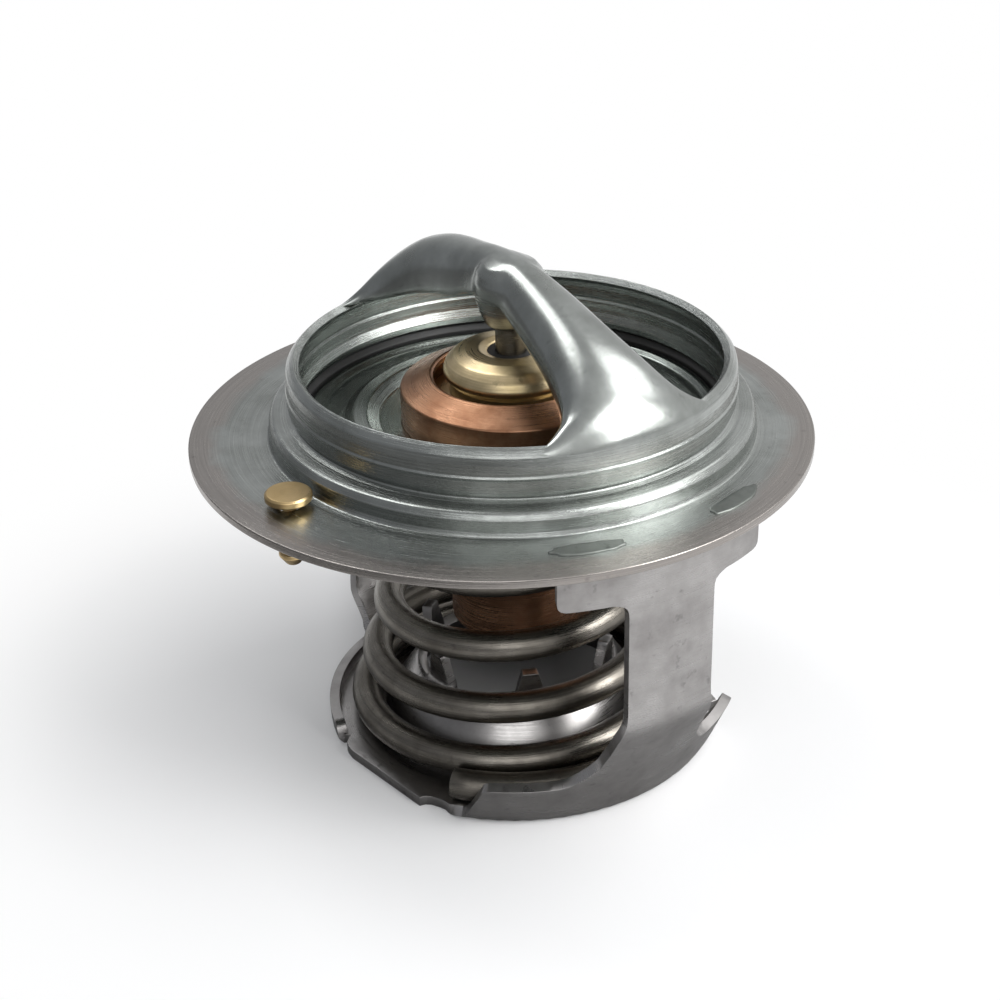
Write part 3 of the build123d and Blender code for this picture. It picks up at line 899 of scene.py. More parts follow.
class Graph:
    """Short ways to add and join the nodes of a material or a world."""

    def __init__(self, owner: bpy.types.Material | bpy.types.World) -> None:
        """Switch the owner's nodes on.

        Args:
            owner: the material or world.
        """
        owner.use_nodes = True
        self.nodes = owner.node_tree.nodes
        self.links = owner.node_tree.links

    def feed(self, node: bpy.types.Node, sources: dict[str | int, Source]) -> None:
        """Set or link a node's inputs.

        Args:
            node: the node.
            sources: constant or output socket for each input.
        """
        for key, source in sources.items():
            if isinstance(source, Socket):
                self.links.new(source, node.inputs[key])
            else:
                node.inputs[key].default_value = source

    def add(self, kind: str, sources: dict[str | int, Source] | None = None,
            **options: str) -> bpy.types.Node:
        """Add a node.

        Args:
            kind: the node's type, without its first word.
            sources: constant or output socket for each input.
            options: the node's own settings.

        Returns:
            The new node.
        """
        node = self.nodes.new("ShaderNode" + kind)
        for name, value in options.items():
            setattr(node, name, value)
        self.feed(node, sources or {})
        return node

    def noise(self, place: Socket, scale: float, detail: float, roughness: float = 0.5) -> Socket:
        """Add a noise.

        Args:
            place: coordinates.
            scale: number of waves in a unit.
            detail: number of finer layers.
            roughness: strength of the finer layers.

        Returns:
            The noise's value.
        """
        return self.add("TexNoise", {"Vector": place, "Scale": scale, "Detail": detail,
                                     "Roughness": roughness}).outputs["Fac"]

    def math(self, operation: str, first: Source, second: Source) -> Socket:
        """Combine two values by an operation."""
        return self.add("Math", {0: first, 1: second}, operation=operation).outputs[0]

    def measure(self, operation: str, first: Source, second: Source = (0.0, 0.0, 0.0)) -> Socket:
        """Number that a vector operation gives, such as a length."""
        return self.add("VectorMath", {0: first, 1: second}, operation=operation).outputs["Value"]

    def ramp(self, value: Socket, low: float, high: float, to_low: float = 0.0, to_high: float = 1.0,
             smooth: bool = False) -> Socket:
        """Map a value from one range to another, clamped.

        Args:
            value: the value.
            low: start of its range.
            high: end of its range.
            to_low: result at the start.
            to_high: result at the end.
            smooth: whether the change starts and ends softly.

        Returns:
            The mapped value.
        """
        return self.add("MapRange", {"Value": value, "From Min": low, "From Max": high, "To Min": to_low,
                                     "To Max": to_high},
                        interpolation_type="SMOOTHSTEP" if smooth else "LINEAR").outputs["Result"]

    def mix(self, factor: Socket, first: Source, second: Source) -> Socket:
        """Blend two colours.

        Args:
            factor: share of the second colour.
            first: colour or socket.
            second: colour or socket.

        Returns:
            The blended colour.
        """
        colours = [source if isinstance(source, Socket) else (*source, 1.0) for source in (first, second)]
        return self.add("Mix", {0: factor, 6: colours[0], 7: colours[1]}, data_type="RGBA").outputs[2]

    def scale(self, colour: Socket, factor: Socket) -> Socket:
        """Multiply a colour by a value."""
        return self.add("VectorMath", {0: colour, "Scale": factor}, operation="SCALE").outputs[0]

    def show(self, factor: Socket, first: bpy.types.Node, second: bpy.types.Node, output: str) -> None:
        """Blend two shaders and join them to the output.

        Args:
            factor: share of the second shader.
            first: node of the first shader.
            second: node of the second shader.
            output: name of the output node.
        """
        blend = self.add("MixShader", {0: factor, 1: first.outputs[0], 2: second.outputs[0]})
        self.feed(self.nodes[output], {"Surface": blend.outputs[0]})


@dataclass(frozen=True)
class MetalFinish:
    """Procedural surface of metal, rubber or wax.

    Scales count in a metre, but streak_scale in a millimetre. Heights are metres at full strength, and
    the edge band's radii are millimetres.

    Attributes:
        name: name of the material.
        base: main linear colour.
        tint: colour of the clouded patches.
        rough: mean roughness.
        streaks: strength of the forming lines.
        streak_gain: how much the lines brighten, as a share of how much they darken.
        speck: darkness of the specks.
        band: colour along the flange's edge, if it differs.
        noise_range: range of a noise that is used in full.
        tint_range: range of the clouds over which the tint sets in.
        speck_range: range of the specks' noise over which they darken.
    """

    name: str
    base: Colour
    tint: Colour
    rough: float = 0.3
    rough_spread: float = 0.12
    metallic: float = 1.0
    grain: float = 0.12
    streak_scale: float = 9.0
    streaks: float = 0.25
    speck: float = 0.25
    band: Colour | None = None

    cloud_scale: float = 160.0
    cloud_detail: float = 6.0
    cloud_roughness: float = 0.62
    streak_detail: float = 5.0
    streak_roughness: float = 0.7
    streak_stretch: float = 90.0
    streak_height: float = 0.000048
    grain_scale: float = 5200.0
    grain_detail: float = 3.0
    grain_height: float = 0.00002
    speck_scale: float = 900.0
    speck_detail: float = 4.0
    streak_gain: float = 0.5
    noise_range: Point = (0.3, 0.7)
    tint_range: Point = (0.38, 0.66)
    speck_range: Point = (0.64, 0.76)
    band_start: float = 24.9
    band_end: float = 26.2
    band_wander: float = 0.8

    def build(self) -> bpy.types.Material:
        """Make the material.

        Returns:
            The new material.
        """
        material = bpy.data.materials.new(self.name)
        graph = Graph(material)
        place = graph.add("TexCoord").outputs["Object"]
        cloud = graph.noise(place, self.cloud_scale, self.cloud_detail, self.cloud_roughness)
        streak = graph.noise(self._streak_place(graph, place), 1.0, self.streak_detail,
                             self.streak_roughness)
        grain = graph.noise(place, self.grain_scale, self.grain_detail)
        speck = graph.noise(place, self.speck_scale, self.speck_detail)
        lines = graph.ramp(streak, *self.noise_range)
        half = self.rough_spread / 2
        clouded = graph.ramp(cloud, *self.noise_range, self.rough - half, self.rough + half)
        rough = graph.math("ADD", clouded, graph.ramp(lines, 0.0, 1.0, -half, half))
        worked = graph.add("Bump", {"Strength": 1.0, "Distance": self.streak_height * self.streaks,
                                    "Height": lines})
        grained = graph.add("Bump", {"Strength": 1.0, "Distance": self.grain_height * self.grain,
                                     "Height": grain, "Normal": worked.outputs["Normal"]})
        graph.feed(graph.nodes["Principled BSDF"], {
            "Metallic": self.metallic, "Base Color": self._colour(graph, place, cloud, lines, speck),
            "Roughness": rough, "Normal": grained.outputs["Normal"]})
        return material

    def _colour(self, graph: Graph, place: Socket, cloud: Socket, lines: Socket, speck: Socket) -> Socket:
        """Colour with its clouds, forming lines and specks.

        Args:
            graph: the material's nodes.
            place: coordinates on the part.
            cloud: value of the clouds.
            lines: value of the forming lines.
            speck: value of the specks.

        Returns:
            The colour.
        """
        colour = graph.mix(graph.ramp(cloud, *self.tint_range), self.base, self.tint)
        if self.band:
            flat = graph.add("VectorMath", {0: place, 1: (1.0, 1.0, 0.0)}, operation="MULTIPLY").outputs[0]
            wander = graph.ramp(cloud, *self.noise_range, -self.band_wander * MM, self.band_wander * MM)
            reach = graph.math("ADD", graph.measure("LENGTH", flat), wander)
            share = graph.ramp(reach, self.band_start * MM, self.band_end * MM)
            colour = graph.mix(share, colour, self.band)
        shade = graph.ramp(lines, 0.0, 1.0, 1.0 - self.streaks, 1.0 + self.streak_gain * self.streaks)
        colour = graph.scale(colour, shade)
        dots = graph.ramp(speck, *self.speck_range)
        return graph.scale(colour, graph.ramp(dots, 0.0, 1.0, 1.0, 1.0 - self.speck))

    def _streak_place(self, graph: Graph, place: Socket) -> Socket:
        """Coordinates that stretch the lines along the way the metal was worked.

        Args:
            graph: the material's nodes.
            place: coordinates on the part.

        Returns:
            The stretched coordinates.
        """
        split = graph.add("SeparateXYZ", {0: place}).outputs
        along = graph.add("Attribute", attribute_name="along").outputs["Fac"]
        return graph.add("CombineXYZ", {
            "X": graph.math("MULTIPLY", split["X"], self.streak_stretch),
            "Y": graph.math("MULTIPLY", split["Y"], self.streak_stretch),
            "Z": graph.math("MULTIPLY", along, self.streak_scale)}).outputs[0]


class Finish(Enum):
    """Finishes of the part's surfaces."""

    FLANGE = MetalFinish("flange_zinc", (0.42, 0.44, 0.425), (0.29, 0.305, 0.29), 0.235, 0.12, streaks=0.2,
                         band=(0.36, 0.335, 0.315))
    CAGE = MetalFinish("cage_zinc", (0.43, 0.417, 0.41), (0.29, 0.278, 0.273), 0.32, 0.16, streaks=0.05,
                       speck=0.35)
    STAKE = MetalFinish("stake_zinc", (0.22, 0.235, 0.22), (0.11, 0.118, 0.11), 0.45, 0.16, streaks=0.1,
                        speck=0.6)
    DISC = MetalFinish("disc_zinc", (0.31, 0.335, 0.315), (0.19, 0.21, 0.195), 0.22, 0.12, streaks=0.14)
    COPPER = MetalFinish("copper", (0.50, 0.28, 0.17), (0.25, 0.12, 0.065), 0.3, 0.14, streaks=0.2,
                         streak_scale=14.0)
    BRASS = MetalFinish("guide_brass", (0.74, 0.60, 0.37), (0.50, 0.40, 0.22), 0.34, 0.14, streaks=0.1,
                        speck=0.4)
    PIN = MetalFinish("pin_brass", (0.66, 0.49, 0.26), (0.5, 0.36, 0.17), 0.32, 0.1, streaks=0.15)
    PISTON = MetalFinish("piston_steel", (0.16, 0.15, 0.13), (0.09, 0.082, 0.07), 0.3, 0.1, streaks=0.3,
                         streak_scale=20.0)
    SPRING = MetalFinish("spring_wire", (0.24, 0.222, 0.195), (0.135, 0.123, 0.105), 0.3, 0.14, streaks=0.3,
                         streak_scale=14.0, speck=0.3)
    RUBBER = MetalFinish("seal_rubber", (0.018, 0.018, 0.018), (0.03, 0.03, 0.03), 0.55, 0.1, metallic=0.0,
                         grain=1.0, streaks=0.1, speck=0.1)
    WAX = MetalFinish("wax", (0.4, 0.24, 0.12), (0.5, 0.3, 0.15), 0.5, 0.1, metallic=0.0, streaks=0.05)


@dataclass
class Dresser:
    """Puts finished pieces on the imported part.

    Attributes:
        materials: materials made so far.
    """

    materials: dict[Finish, bpy.types.Material] = field(default_factory=dict)

    def material(self, finish: Finish) -> bpy.types.Material:
        """Return a finish's material, made once.

        Args:
            finish: the finish.

        Returns:
            The material.
        """
        if finish not in self.materials:
            self.materials[finish] = finish.value.build()
        return self.materials[finish]

    def dress(self, thing: bpy.types.Object, finish: Finish, body: Body, slot: str,
              *nodes: str) -> bpy.types.Object:
        """Give a piece its material, body and the nodes it stands for.

        Args:
            thing: the piece.
            finish: its finish.
            body: the body it rides on.
            slot: the record's material slot; not used.
            nodes: the nodes that it replaces.

        Returns:
            The piece.
        """
        thing.data.materials.clear()
        thing.data.materials.append(self.material(finish))
        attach(thing, body.value)
        if nodes:
            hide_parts(*nodes)
        return thing

    def recolour(self, node: bpy.types.Object, finish: Finish) -> bpy.types.Object:
        """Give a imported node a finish.

        Args:
            node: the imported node's object.
            finish: its finish.

        Returns:
            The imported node's object.
        """
        if not node.material_slots:
            node.data.materials.append(self.material(finish))
        for slot in node.material_slots:
            slot.material = self.material(finish)
        return node


@dataclass
class Flange:
    """Flange and collar, turned about the valve's axis with an eccentric outer edge.

    Attributes:
        wall_height: height on the collar's wall where the bridge's marks begin.
        corners: radius, height and fillet of each corner of the profile.
    """

    hole: Point = PIN_PLACE
    hole_radius: float = 1.1
    cut_top: float = 0.5
    cut_bottom: float = -1.5
    wall_height: float = 5.2
    segments: int = 288
    fillet_steps: int = 6
    corners: Sequence[Corner] = (
        (19.35, 6.98, 0.06), (19.64, 6.73, 0.3), (20.0, 6.3, 0.5), (20.1, 5.6, 0.6), (20.1, 4.62, 0.12),
        (20.22, 4.4, 0.12), (20.1, 4.18, 0.12), (20.1, 3.1, 0.4), (19.74, 2.5, 0.22), (20.3, 2.27, 0.2),
        (21.55, 2.12, 0.5), (21.85, 1.5, 0.35), (21.85, 0.5, 0.3), (22.0, 0.06, 0.25), (22.6, 0.0, 0.4),
        (24.0, 0.0, 0), (25.4, 0.0, 0), (26.8, 0.0, 0), (28.0, 0.0, 0.12), (28.0, -0.75, 0.12),
        (26.8, -0.75, 0), (25.4, -0.75, 0), (24.0, -0.75, 0), (22.1, -0.75, 0.5), (21.35, -0.6, 0.4),
        (21.1, -0.1, 0.4), (21.1, 1.2, 0.2), (20.85, 1.45, 0.2), (19.6, 1.45, 0.2), (19.1, 1.7, 0.3),
        (18.95, 2.3, 0.3), (19.3, 3.1, 0.4), (19.35, 3.5, 0.3), (19.35, 4.15, 0.1), (19.5, 4.4, 0.15),
        (19.35, 4.65, 0.1), (19.35, 5.5, 0.6), (19.22, 6.05, 0.4), (18.8, 6.5, 0.06),
    )

    def wall_along(self) -> float:
        """Distance along the profile that the collar's wall has at height zero.

        Returns:
            The distance in millimetres.
        """
        profile = rounded(self.corners, self.fillet_steps)
        length = 0.0
        for (r0, z0), (r1, z1) in zip(profile, profile[1:]):
            length += math.hypot(r1 - r0, z1 - z0)
            if z1 < self.wall_height:
                return length + z1
        return length

    def build(self) -> bpy.types.Object:
        """Make the flange with its collar and vent hole.

        Returns:
            The new object.
        """
        thing = Lathe("flange_collar", self.corners, segments=self.segments, reach=self._reach,
                      fillet_steps=self.fillet_steps).build()
        hole = [(0, self.cut_top, 0), (self.hole_radius, self.cut_top, 0),
                (self.hole_radius, self.cut_bottom, 0), (0, self.cut_bottom, 0)]
        cutter = Lathe("cutter", hole, centre=self.hole, segments=48).build()
        cut = thing.modifiers.new("hole", "BOOLEAN")
        cut.object = cutter
        cut.solver = "EXACT"
        bake_modifiers(thing)
        bpy.data.objects.remove(cutter)
        return thing

    @staticmethod
    def _reach(radius: float, angle: float) -> float:
        """Radius about the valve's axis, drawn out to the flange's round edge.

        Args:
            radius: radius in the profile.
            angle: direction in radians.

        Returns:
            The radius in that direction.
        """
        if radius <= BASE_RADIUS:
            return radius
        share = (radius - BASE_RADIUS) / (FLANGE_RADIUS - BASE_RADIUS)
        return BASE_RADIUS + share * (flange_reach(angle) - BASE_RADIUS)


@dataclass
class StakeMarks:
    """Flattened heads of the cage's tabs on the flange's upper face.

    Attributes:
        offset: angle between a mark and the middle of its leg, in degrees.
        rings: share of a mark's size and height of each ring of points, from the outside inwards.
        raggedness: height of a wave in the outline as a share of a mark's size.
        squareness: power that draws out a mark's ends.
        unevenness: largest change of a point's height.
    """

    radius: float = 24.45
    half_length: float = 3.15
    half_width: float = 0.85
    offset: float = 17.5
    rings: Sequence[Point] = ((1.0, -0.02), (0.985, 0.096), (0.92, 0.12), (0.6, 0.084), (0.3, 0.09))
    middle_height: float = 0.096
    steps: int = 56
    waves: int = 4
    raggedness: float = 0.035
    squareness: float = 0.8
    unevenness: float = 0.008
    seed: int = 7

    def build(self) -> bpy.types.Object:
        """Make the four marks as one mesh.

        Returns:
            The new object.
        """
        random = np.random.default_rng(self.seed)
        points: list[Corner] = []
        faces: list[tuple[int, ...]] = []
        for side in (0.0, 180.0):
            for offset in (-self.offset, self.offset):
                faces += ring_faces(len(self.rings), self.steps, len(points))
                points += self._mark(math.radians(side + offset), random)
                middle = len(points) - 1
                ring = [middle - self.steps + step for step in range(self.steps)]
                faces += [(here, there, middle) for here, there in zip(ring, ring[1:] + ring[:1])]
        return make_mesh("stake_marks", np.array(points), faces, [0.0] * len(points), weld=1e-6)

    def _mark(self, middle: float, random: np.random.Generator) -> list[Corner]:
        """Points of one mark, its middle last.

        Args:
            middle: direction of the mark in radians.
            random: source of its ragged outline.

        Returns:
            The points.
        """
        wave = random.uniform(-1, 1, (self.waves, 2))
        places = []
        for size, height in self.rings:
            for step in range(self.steps):
                turn = 2 * math.pi * step / self.steps
                ragged = size * (1 + sum(self.raggedness * wave[k][0]
                                         * math.sin((k * 2 + 3) * turn + 3 * wave[k][1])
                                         for k in range(self.waves)))
                drawn = math.copysign(abs(math.cos(turn)) ** self.squareness, math.cos(turn))
                places.append((middle + self.half_length * ragged * drawn / self.radius,
                               self.radius + self.half_width * ragged * math.sin(turn),
                               height + random.uniform(-self.unevenness, self.unevenness)))
        places.append((middle, self.radius, self.middle_height))
        return [(reach * math.cos(angle), VALVE_Y + reach * math.sin(angle), height)
                for angle, reach, height in places]


@dataclass
class FrameAssembly:
    """Flange, bridge, cage, piston and spring, which stay where they are.

    Attributes:
        dresser: gives each piece its finish and body.
        boss: profile of the boss under the bridge's crown.
        rod: profile of the piston.
    """

    dresser: Dresser
    boss: Sequence[Corner] = (
        (0, 9.2, 0), (1.3, 9.2, 0.5), (2.25, 9.7, 0.9), (2.8, 11.0, 1.2), (3.12, 12.3, 1.2),
        (3.1, 13.4, 1.0), (2.6, 14.6, 1.0), (1.7, 15.2, 0.6), (0.8, 15.5, 0.4), (0, 15.5, 0),
    )
    rod: Sequence[Corner] = (
        (0, -9.0, 0), (PISTON_RADIUS, -9.0, 0.15), (PISTON_RADIUS, 12.9, 0.1), (0, 12.9, 0),
    )

    def build(self) -> list[bpy.types.Object]:
        """Make and dress the pieces.

        Returns:
            The new objects.
        """
        dress = self.dresser.dress
        flange = Flange()
        pieces = [
            dress(flange.build(), Finish.FLANGE, Body.FRAME, "flange_steel", "flange_bridge"),
            dress(Bridge(flange.wall_along()).build(), Finish.FLANGE, Body.FRAME, "flange_steel"),
            dress(Lathe("piston_boss", self.boss, segments=96).build(), Finish.FLANGE, Body.FRAME,
                  "flange_steel"),
            dress(Cage().build(), Finish.CAGE, Body.FRAME, "cage_steel", "lower_frame"),
            dress(StakeMarks().build(), Finish.STAKE, Body.FRAME, "cage_steel"),
            dress(Lathe("piston_rod", self.rod, segments=64).build(), Finish.PISTON, Body.FRAME,
                  "piston_steel", "piston"),
        ]
        coil = dress(Coil().build(), Finish.SPRING, Body.FRAME, "spring_steel", "main_spring")
        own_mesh(coil)
        return [*pieces, coil]


@dataclass
class ValveAssembly:
    """Disc, seal and wax element, which move together, each piece by its profile.

    Attributes:
        dresser: gives each piece its finish and body.
        packed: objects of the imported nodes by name.
        inside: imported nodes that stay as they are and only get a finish.
    """

    dresser: Dresser
    packed: dict[str, bpy.types.Object]
    disc: Sequence[Corner] = (
        (6.0, -0.2, 0), (10.7, -0.2, 0.3), (12.25, -0.1, 0.5), (13.3, 0.7, 0.5), (14.1, 0.7, 0.5),
        (15.0, -0.05, 0.6), (17.0, -0.2, 1.5), (18.3, -0.6, 1.0), (20.75, -0.6, 0.15), (20.75, 0.2, 0.15),
        (18.9, 0.2, 0.1), (18.8, 0.85, 0.25), (18.15, 0.85, 0.25), (17.7, 0.45, 0.4), (16.9, 0.6, 1.0),
        (15.2, 0.75, 1.0), (14.3, 1.5, 0.4), (13.1, 1.5, 0.4), (12.0, 0.7, 0.5), (10.5, 0.6, 0.3),
        (6.0, 0.6, 0),
    )
    seal: Sequence[Corner] = (
        (19.05, 0.2, 0), (20.75, 0.2, 0.05), (20.95, 0.45, 0.15), (20.7, 1.42, 0.15), (19.5, 1.42, 0.25),
        (19.05, 0.95, 0.2),
    )
    case: Sequence[Corner] = (
        (0, -20.0, 0), (6.0, -20.0, 0.6), (6.0, 0.6, 0), (10.0, 0.6, 0.1), (10.0, 3.75, 0.3),
        (7.3, 4.95, 0.4), (7.0, 4.75, 0.12), (7.0, 4.3, 0.2), (9.0, 3.4, 0.1), (9.0, 1.4, 0), (5.0, 1.4, 0),
        (5.0, -19.0, 0), (0, -19.0, 0),
    )
    guide: Sequence[Corner] = (
        (1.45, 2.2, 0), (5.0, 2.2, 0), (5.0, 1.4, 0), (9.0, 1.4, 0), (9.0, 3.0, 0.2), (5.5, 3.2, 0.2),
        (5.5, 4.4, 0.3), (6.0, 4.85, 0.4), (6.12, 5.4, 0.5), (5.85, 6.1, 0.8), (5.1, 6.75, 1.0),
        (4.0, 7.15, 1.0), (2.9, 7.27, 0.5), (2.2, 7.05, 0.4), (1.8, 6.5, 0.3), (1.45, 6.1, 0),
    )
    inside: tuple[tuple[str, Finish], ...] = (
        ("wiper_ring", Finish.RUBBER), ("rubber_sleeve", Finish.RUBBER), ("wax_charge", Finish.WAX),
    )

    def build(self) -> list[bpy.types.Object]:
        """Make and dress the pieces.

        Returns:
            The objects.
        """
        dress = self.dresser.dress
        pieces = [
            dress(Lathe("disc_plate", self.disc).build(), Finish.DISC, Body.VALVE, "disc_steel",
                  "valve_disc"),
            dress(Lathe("seal_ring", self.seal).build(), Finish.RUBBER, Body.VALVE, "seal_rubber",
                  "valve_seal"),
            dress(Lathe("copper_case", self.case).build(), Finish.COPPER, Body.VALVE, "copper",
                  "capsule_case"),
            dress(Lathe("brass_guide", self.guide).build(), Finish.BRASS, Body.VALVE, "guide_brass",
                  "guide"),
        ]
        return pieces + [self.dresser.recolour(self.packed[name], finish) for name, finish in self.inside]


@dataclass
class VentPin:
    """Loose pin in the flange's vent hole.

    Attributes:
        dresser: gives the pin its finish and body.
        place: place of its axis in plan.
        corners: radius, height and fillet of each corner of its profile.
    """

    dresser: Dresser
    place: Point = PIN_PLACE
    corners: Sequence[Corner] = (
        (0, 1.25, 0), (1.84, 1.25, 0.05), (2.02, 1.08, 0.08), (2.02, 0.65, 0.08), (1.8, 0.45, 0.1),
        (0.6, -0.25, 0.1), (0.6, -4.0, 0.1), (1.2, -4.4, 0.15), (1.2, -4.7, 0.15), (0.6, -5.5, 0.2),
        (0, -5.5, 0),
    )

    def build(self) -> list[bpy.types.Object]:
        """Make and dress the pin.

        Returns:
            The new object, as the only one in the list.
        """
        pin = Lathe("vent_pin", self.corners, centre=self.place, segments=64)
        return [self.dresser.dress(pin.build(), Finish.PIN, Body.PIN, "pin_brass", "jiggle_pin")]


@dataclass(frozen=True)
class Softbox:
    """Rectangular studio light.

    Attributes:
        name: name of the light.
        place: its middle in metres.
        width: its width in metres.
        height: its height in metres.
        power: its power in watts.
        aim: the point that it faces.
    """

    name: str
    place: Corner
    width: float
    height: float
    power: float
    aim: Corner = (0.0, 0.0, -0.005)

    def build(self) -> None:
        """Make the light and aim it."""
        lamp = bpy.data.lights.new(self.name, "AREA")
        lamp.shape = "RECTANGLE"
        lamp.size, lamp.size_y = self.width, self.height
        lamp.energy = self.power
        thing = bpy.data.objects.new(self.name, lamp)
        thing.location = self.place
        way = Vector(self.aim) - Vector(self.place)
        thing.rotation_euler = way.to_track_quat("-Z", "Y").to_euler()
        bpy.context.scene.collection.objects.link(thing)


@dataclass
class Studio:
    """Floor, lights, world and camera.

    The camera's own angles are radians, turn and headings degrees, the camera's distance and the floor's
    reach and gap millimetres, and the floor's painted shadow patch metres. A span is the start and end of a
    smooth change, then the value before and after it. The floor's spans are metres, but the span of the
    painted shadow patch counts in sizes of the patch, and bright_span is a cosine. The floor has a painted
    shadow in a patch behind the part and, in reflections only, painted shade near the part and towards the
    front heading.
    It glows to white over glow_span. Reflections see brighter surroundings towards bright_heading.
    """

    focal_pixels: float = 1947.42
    distance: float = 175.758
    elevation: float = 0.4529
    roll: float = 0.0221
    centre_u: float = 501.07
    centre_v: float = 423.26
    turn: float = 59.0
    image: float = 1000.0
    sensor: float = 36.0
    clip: Point = (0.005, 20.0)

    floor_reach: float = 3000.0
    floor_gap: float = 0.02
    floor_roughness: float = 0.9
    floor_shade: float = 0.86
    # painted shadow: a soft dark patch on the floor behind the part
    shadow_patch_shift: float = 0.024
    shadow_patch_size: Point = (0.036, 0.019)
    shadow_patch_span: Span = (0.3, 1.05, 0.06, 1.0)
    # painted shade that only reflections see: the floor darker towards the front heading and near the part
    front_shade_heading: float = -80.0
    front_shade_span: Span = (0.030, 0.070, 1.0, 0.12)
    near_shade_span: Span = (0.036, 0.056, 0.3, 1.0)
    glow_span: Span = (0.027, 0.078, 0.0, 1.0)
    mirrored_share: float = 0.75

    sky_colour: Colour = (0.9, 0.93, 1.0)
    sky_strength: float = 0.25
    bright_heading: float = 62.0
    bright_span: Span = (-0.95, 0.75, 0.1, 1.0)

    lamps: Sequence[Softbox] = (
        Softbox("key", (0.308, 0.192, 0.262), 0.26, 0.36, 2.3),
        Softbox("back", (-0.249, -0.067, 0.369), 0.16, 0.16, 0.35),
        Softbox("front", (0.315, -0.229, 0.225), 0.30, 0.22, 0.4),
        Softbox("top", (-0.16, -0.04, 0.44), 0.14, 0.14, 0.16),
        Softbox("side", (0.038, 0.268, 0.359), 0.26, 0.26, 0.5),
    )

    def build(self) -> None:
        """Set up the studio."""
        self._camera()
        self._floor()
        self._world()
        for lamp in self.lamps:
            lamp.build()
        bpy.context.scene.view_settings.view_transform = "Standard"

    def _camera(self) -> None:
        """Camera at the photograph's viewpoint."""
        e, r = self.elevation, self.roll
        axes = np.array([(1, 0, 0), (0, math.sin(e), math.cos(e)), (0, math.cos(e), -math.sin(e))])
        spin = np.array([(math.cos(r), -math.sin(r), 0), (math.sin(r), math.cos(r), 0), (0, 0, 1)])
        aim = Vector(((self.centre_u - self.image / 2) / self.focal_pixels,
                      -(self.centre_v - self.image / 2) / self.focal_pixels, 1.0)).normalized()
        swing = np.array(Vector((0, 0, 1)).rotation_difference(aim).to_matrix())
        about = np.array(Matrix.Rotation(math.radians(self.turn), 3, "Z"))
        rows = swing @ spin @ axes @ about.T
        place = about @ np.array([0, -self.distance * math.cos(e), self.distance * math.sin(e)]) * MM
        data = bpy.data.cameras.new("camera")
        data.sensor_width = self.sensor
        data.lens = self.focal_pixels * self.sensor / self.image
        data.clip_start, data.clip_end = self.clip
        camera = bpy.data.objects.new("camera", data)
        matrix = Matrix.Identity(4)
        for row in range(3):
            matrix[row][0], matrix[row][1], matrix[row][2] = rows[0][row], rows[1][row], -rows[2][row]
            matrix[row][3] = place[row]
        camera.matrix_world = matrix
        bpy.context.scene.collection.objects.link(camera)
        bpy.context.scene.camera = camera

    def _floor(self) -> None:
        """White floor that keeps the part's cast shadow near it, carries a painted shadow behind the part
        and painted shade near it in reflections, and glows to white farther out.
        """
        reach, low = self.floor_reach, CAGE_BOTTOM - self.floor_gap
        points = [(-reach, -reach, low), (reach, -reach, low), (reach, reach, low), (-reach, reach, low)]
        floor = make_mesh("floor", np.array(points), [(0, 1, 2, 3)])
        material = bpy.data.materials.new("floor")
        graph = Graph(material)
        place = graph.add("TexCoord").outputs["Object"]
        # painted shadow: a soft dark patch on the floor behind the part darkens both its colour and its
        # white glow
        away = self.turn + 90.0
        x, y, _ = heading(away)
        behind = graph.add("Mapping", {
            "Vector": place, "Location": (self.shadow_patch_shift * x, self.shadow_patch_shift * y, low * MM),
            "Rotation": (0.0, 0.0, math.radians(away)), "Scale": (*self.shadow_patch_size, 1.0),
        }, vector_type="TEXTURE")
        across = graph.measure("LENGTH", behind.outputs["Vector"])
        painted_shadow = graph.ramp(across, *self.shadow_patch_span, smooth=True)

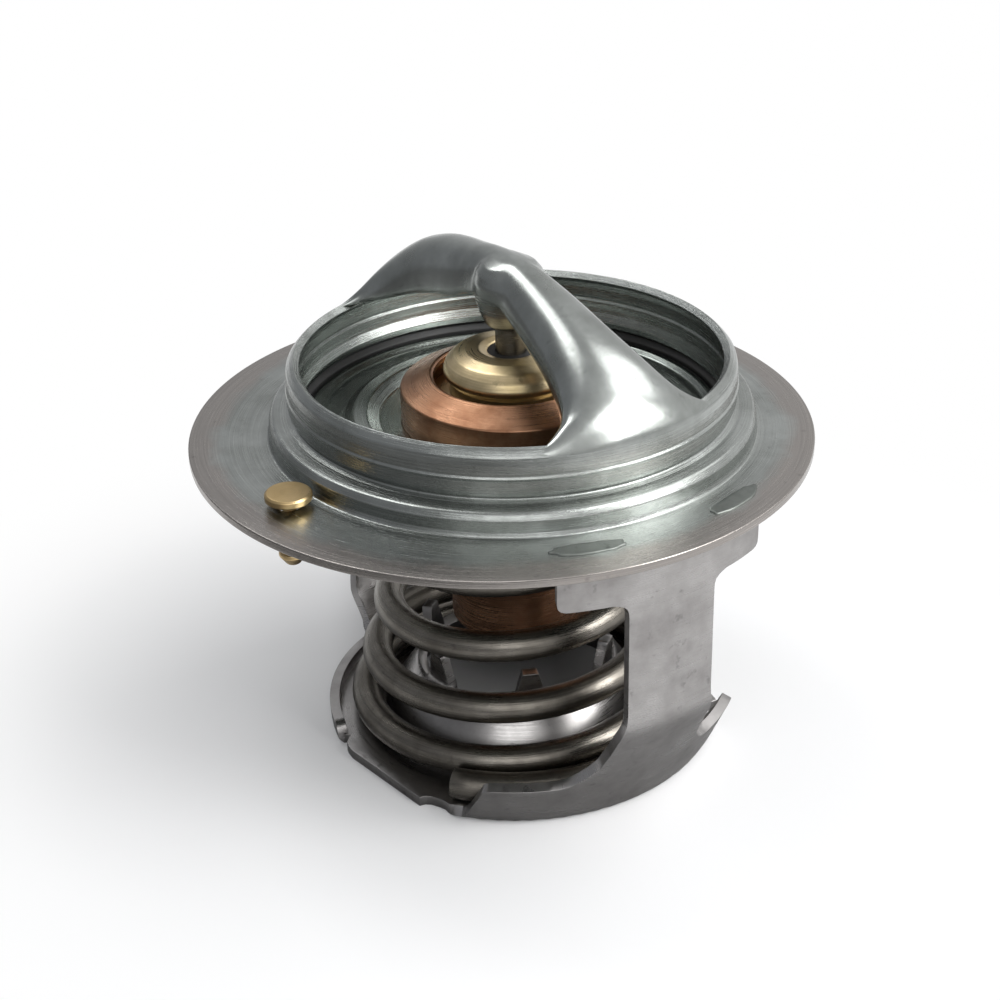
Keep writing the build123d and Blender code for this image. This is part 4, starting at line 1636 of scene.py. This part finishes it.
        # painted shade seen only in reflections: the floor's colour is darker near the part and towards the
        # front heading
        out = graph.measure("LENGTH", place)
        aside = graph.measure("DOT_PRODUCT", place, heading(self.front_shade_heading))
        front = graph.ramp(aside, *self.front_shade_span, smooth=True)
        near = graph.ramp(out, *self.near_shade_span, smooth=True)
        glossy = graph.add("LightPath").outputs["Is Glossy Ray"]
        direct = graph.ramp(glossy, 0.0, 1.0, 1.0, 0.0, smooth=True)
        mirrored = graph.math("MAXIMUM", graph.math("MULTIPLY", near, front), direct)
        shade = graph.math("MULTIPLY", painted_shadow, mirrored)

        far = graph.math("MULTIPLY", graph.ramp(out, *self.glow_span, smooth=True), mirrored)
        glow = graph.math("MULTIPLY", graph.math("MULTIPLY", far, painted_shadow),
                          self._background_rays(graph, self.mirrored_share))
        shader = graph.nodes["Principled BSDF"]
        graph.feed(shader, {"Roughness": self.floor_roughness,
                            "Base Color": graph.math("MULTIPLY", shade, self.floor_shade)})
        white = graph.add("Emission", {"Color": (1.0, 1.0, 1.0, 1.0)})
        graph.show(glow, shader, white, "Material Output")
        floor.data.materials.append(material)

    @staticmethod
    def _background_rays(graph: Graph, mirrored: Source) -> Socket:
        """How far a ray shows the background: wholly when direct or through glass, partly when mirrored.

        Args:
            graph: nodes to add to.
            mirrored: share that a reflection shows.

        Returns:
            The share that the ray shows.
        """
        path = graph.add("LightPath").outputs
        glossy = graph.math("MULTIPLY", path["Is Glossy Ray"], mirrored)
        direct = graph.math("MAXIMUM", path["Is Camera Ray"], path["Is Transmission Ray"])
        return graph.math("MAXIMUM", direct, glossy)

    def _world(self) -> None:
        """Pale surroundings, dim as light and brighter to the camera and in reflections."""
        world = bpy.data.worlds.new("studio")
        bpy.context.scene.world = world
        graph = Graph(world)
        dim = graph.nodes["Background"]
        graph.feed(dim, {"Color": (*self.sky_colour, 1.0), "Strength": self.sky_strength})
        bright = graph.add("Background", {"Strength": 1.0})
        place = graph.add("TexCoord").outputs["Generated"]
        aside = graph.measure("DOT_PRODUCT", place, heading(self.bright_heading))
        mirrored = graph.ramp(aside, *self.bright_span, smooth=True)
        graph.show(self._background_rays(graph, mirrored), dim, bright, "World Output")


def main() -> None:
    """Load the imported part, dress it and set up the studio."""
    logging.basicConfig(level=logging.INFO)
    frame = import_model()
    dresser = Dresser()
    for assembly in (FrameAssembly(dresser), ValveAssembly(dresser, frame["nodes"]), VentPin(dresser)):
        for piece in assembly.build():
            LOG.info("%s: %d faces", piece.name, len(piece.data.polygons))
    Studio().build()


if __name__ == "__main__":
    main()
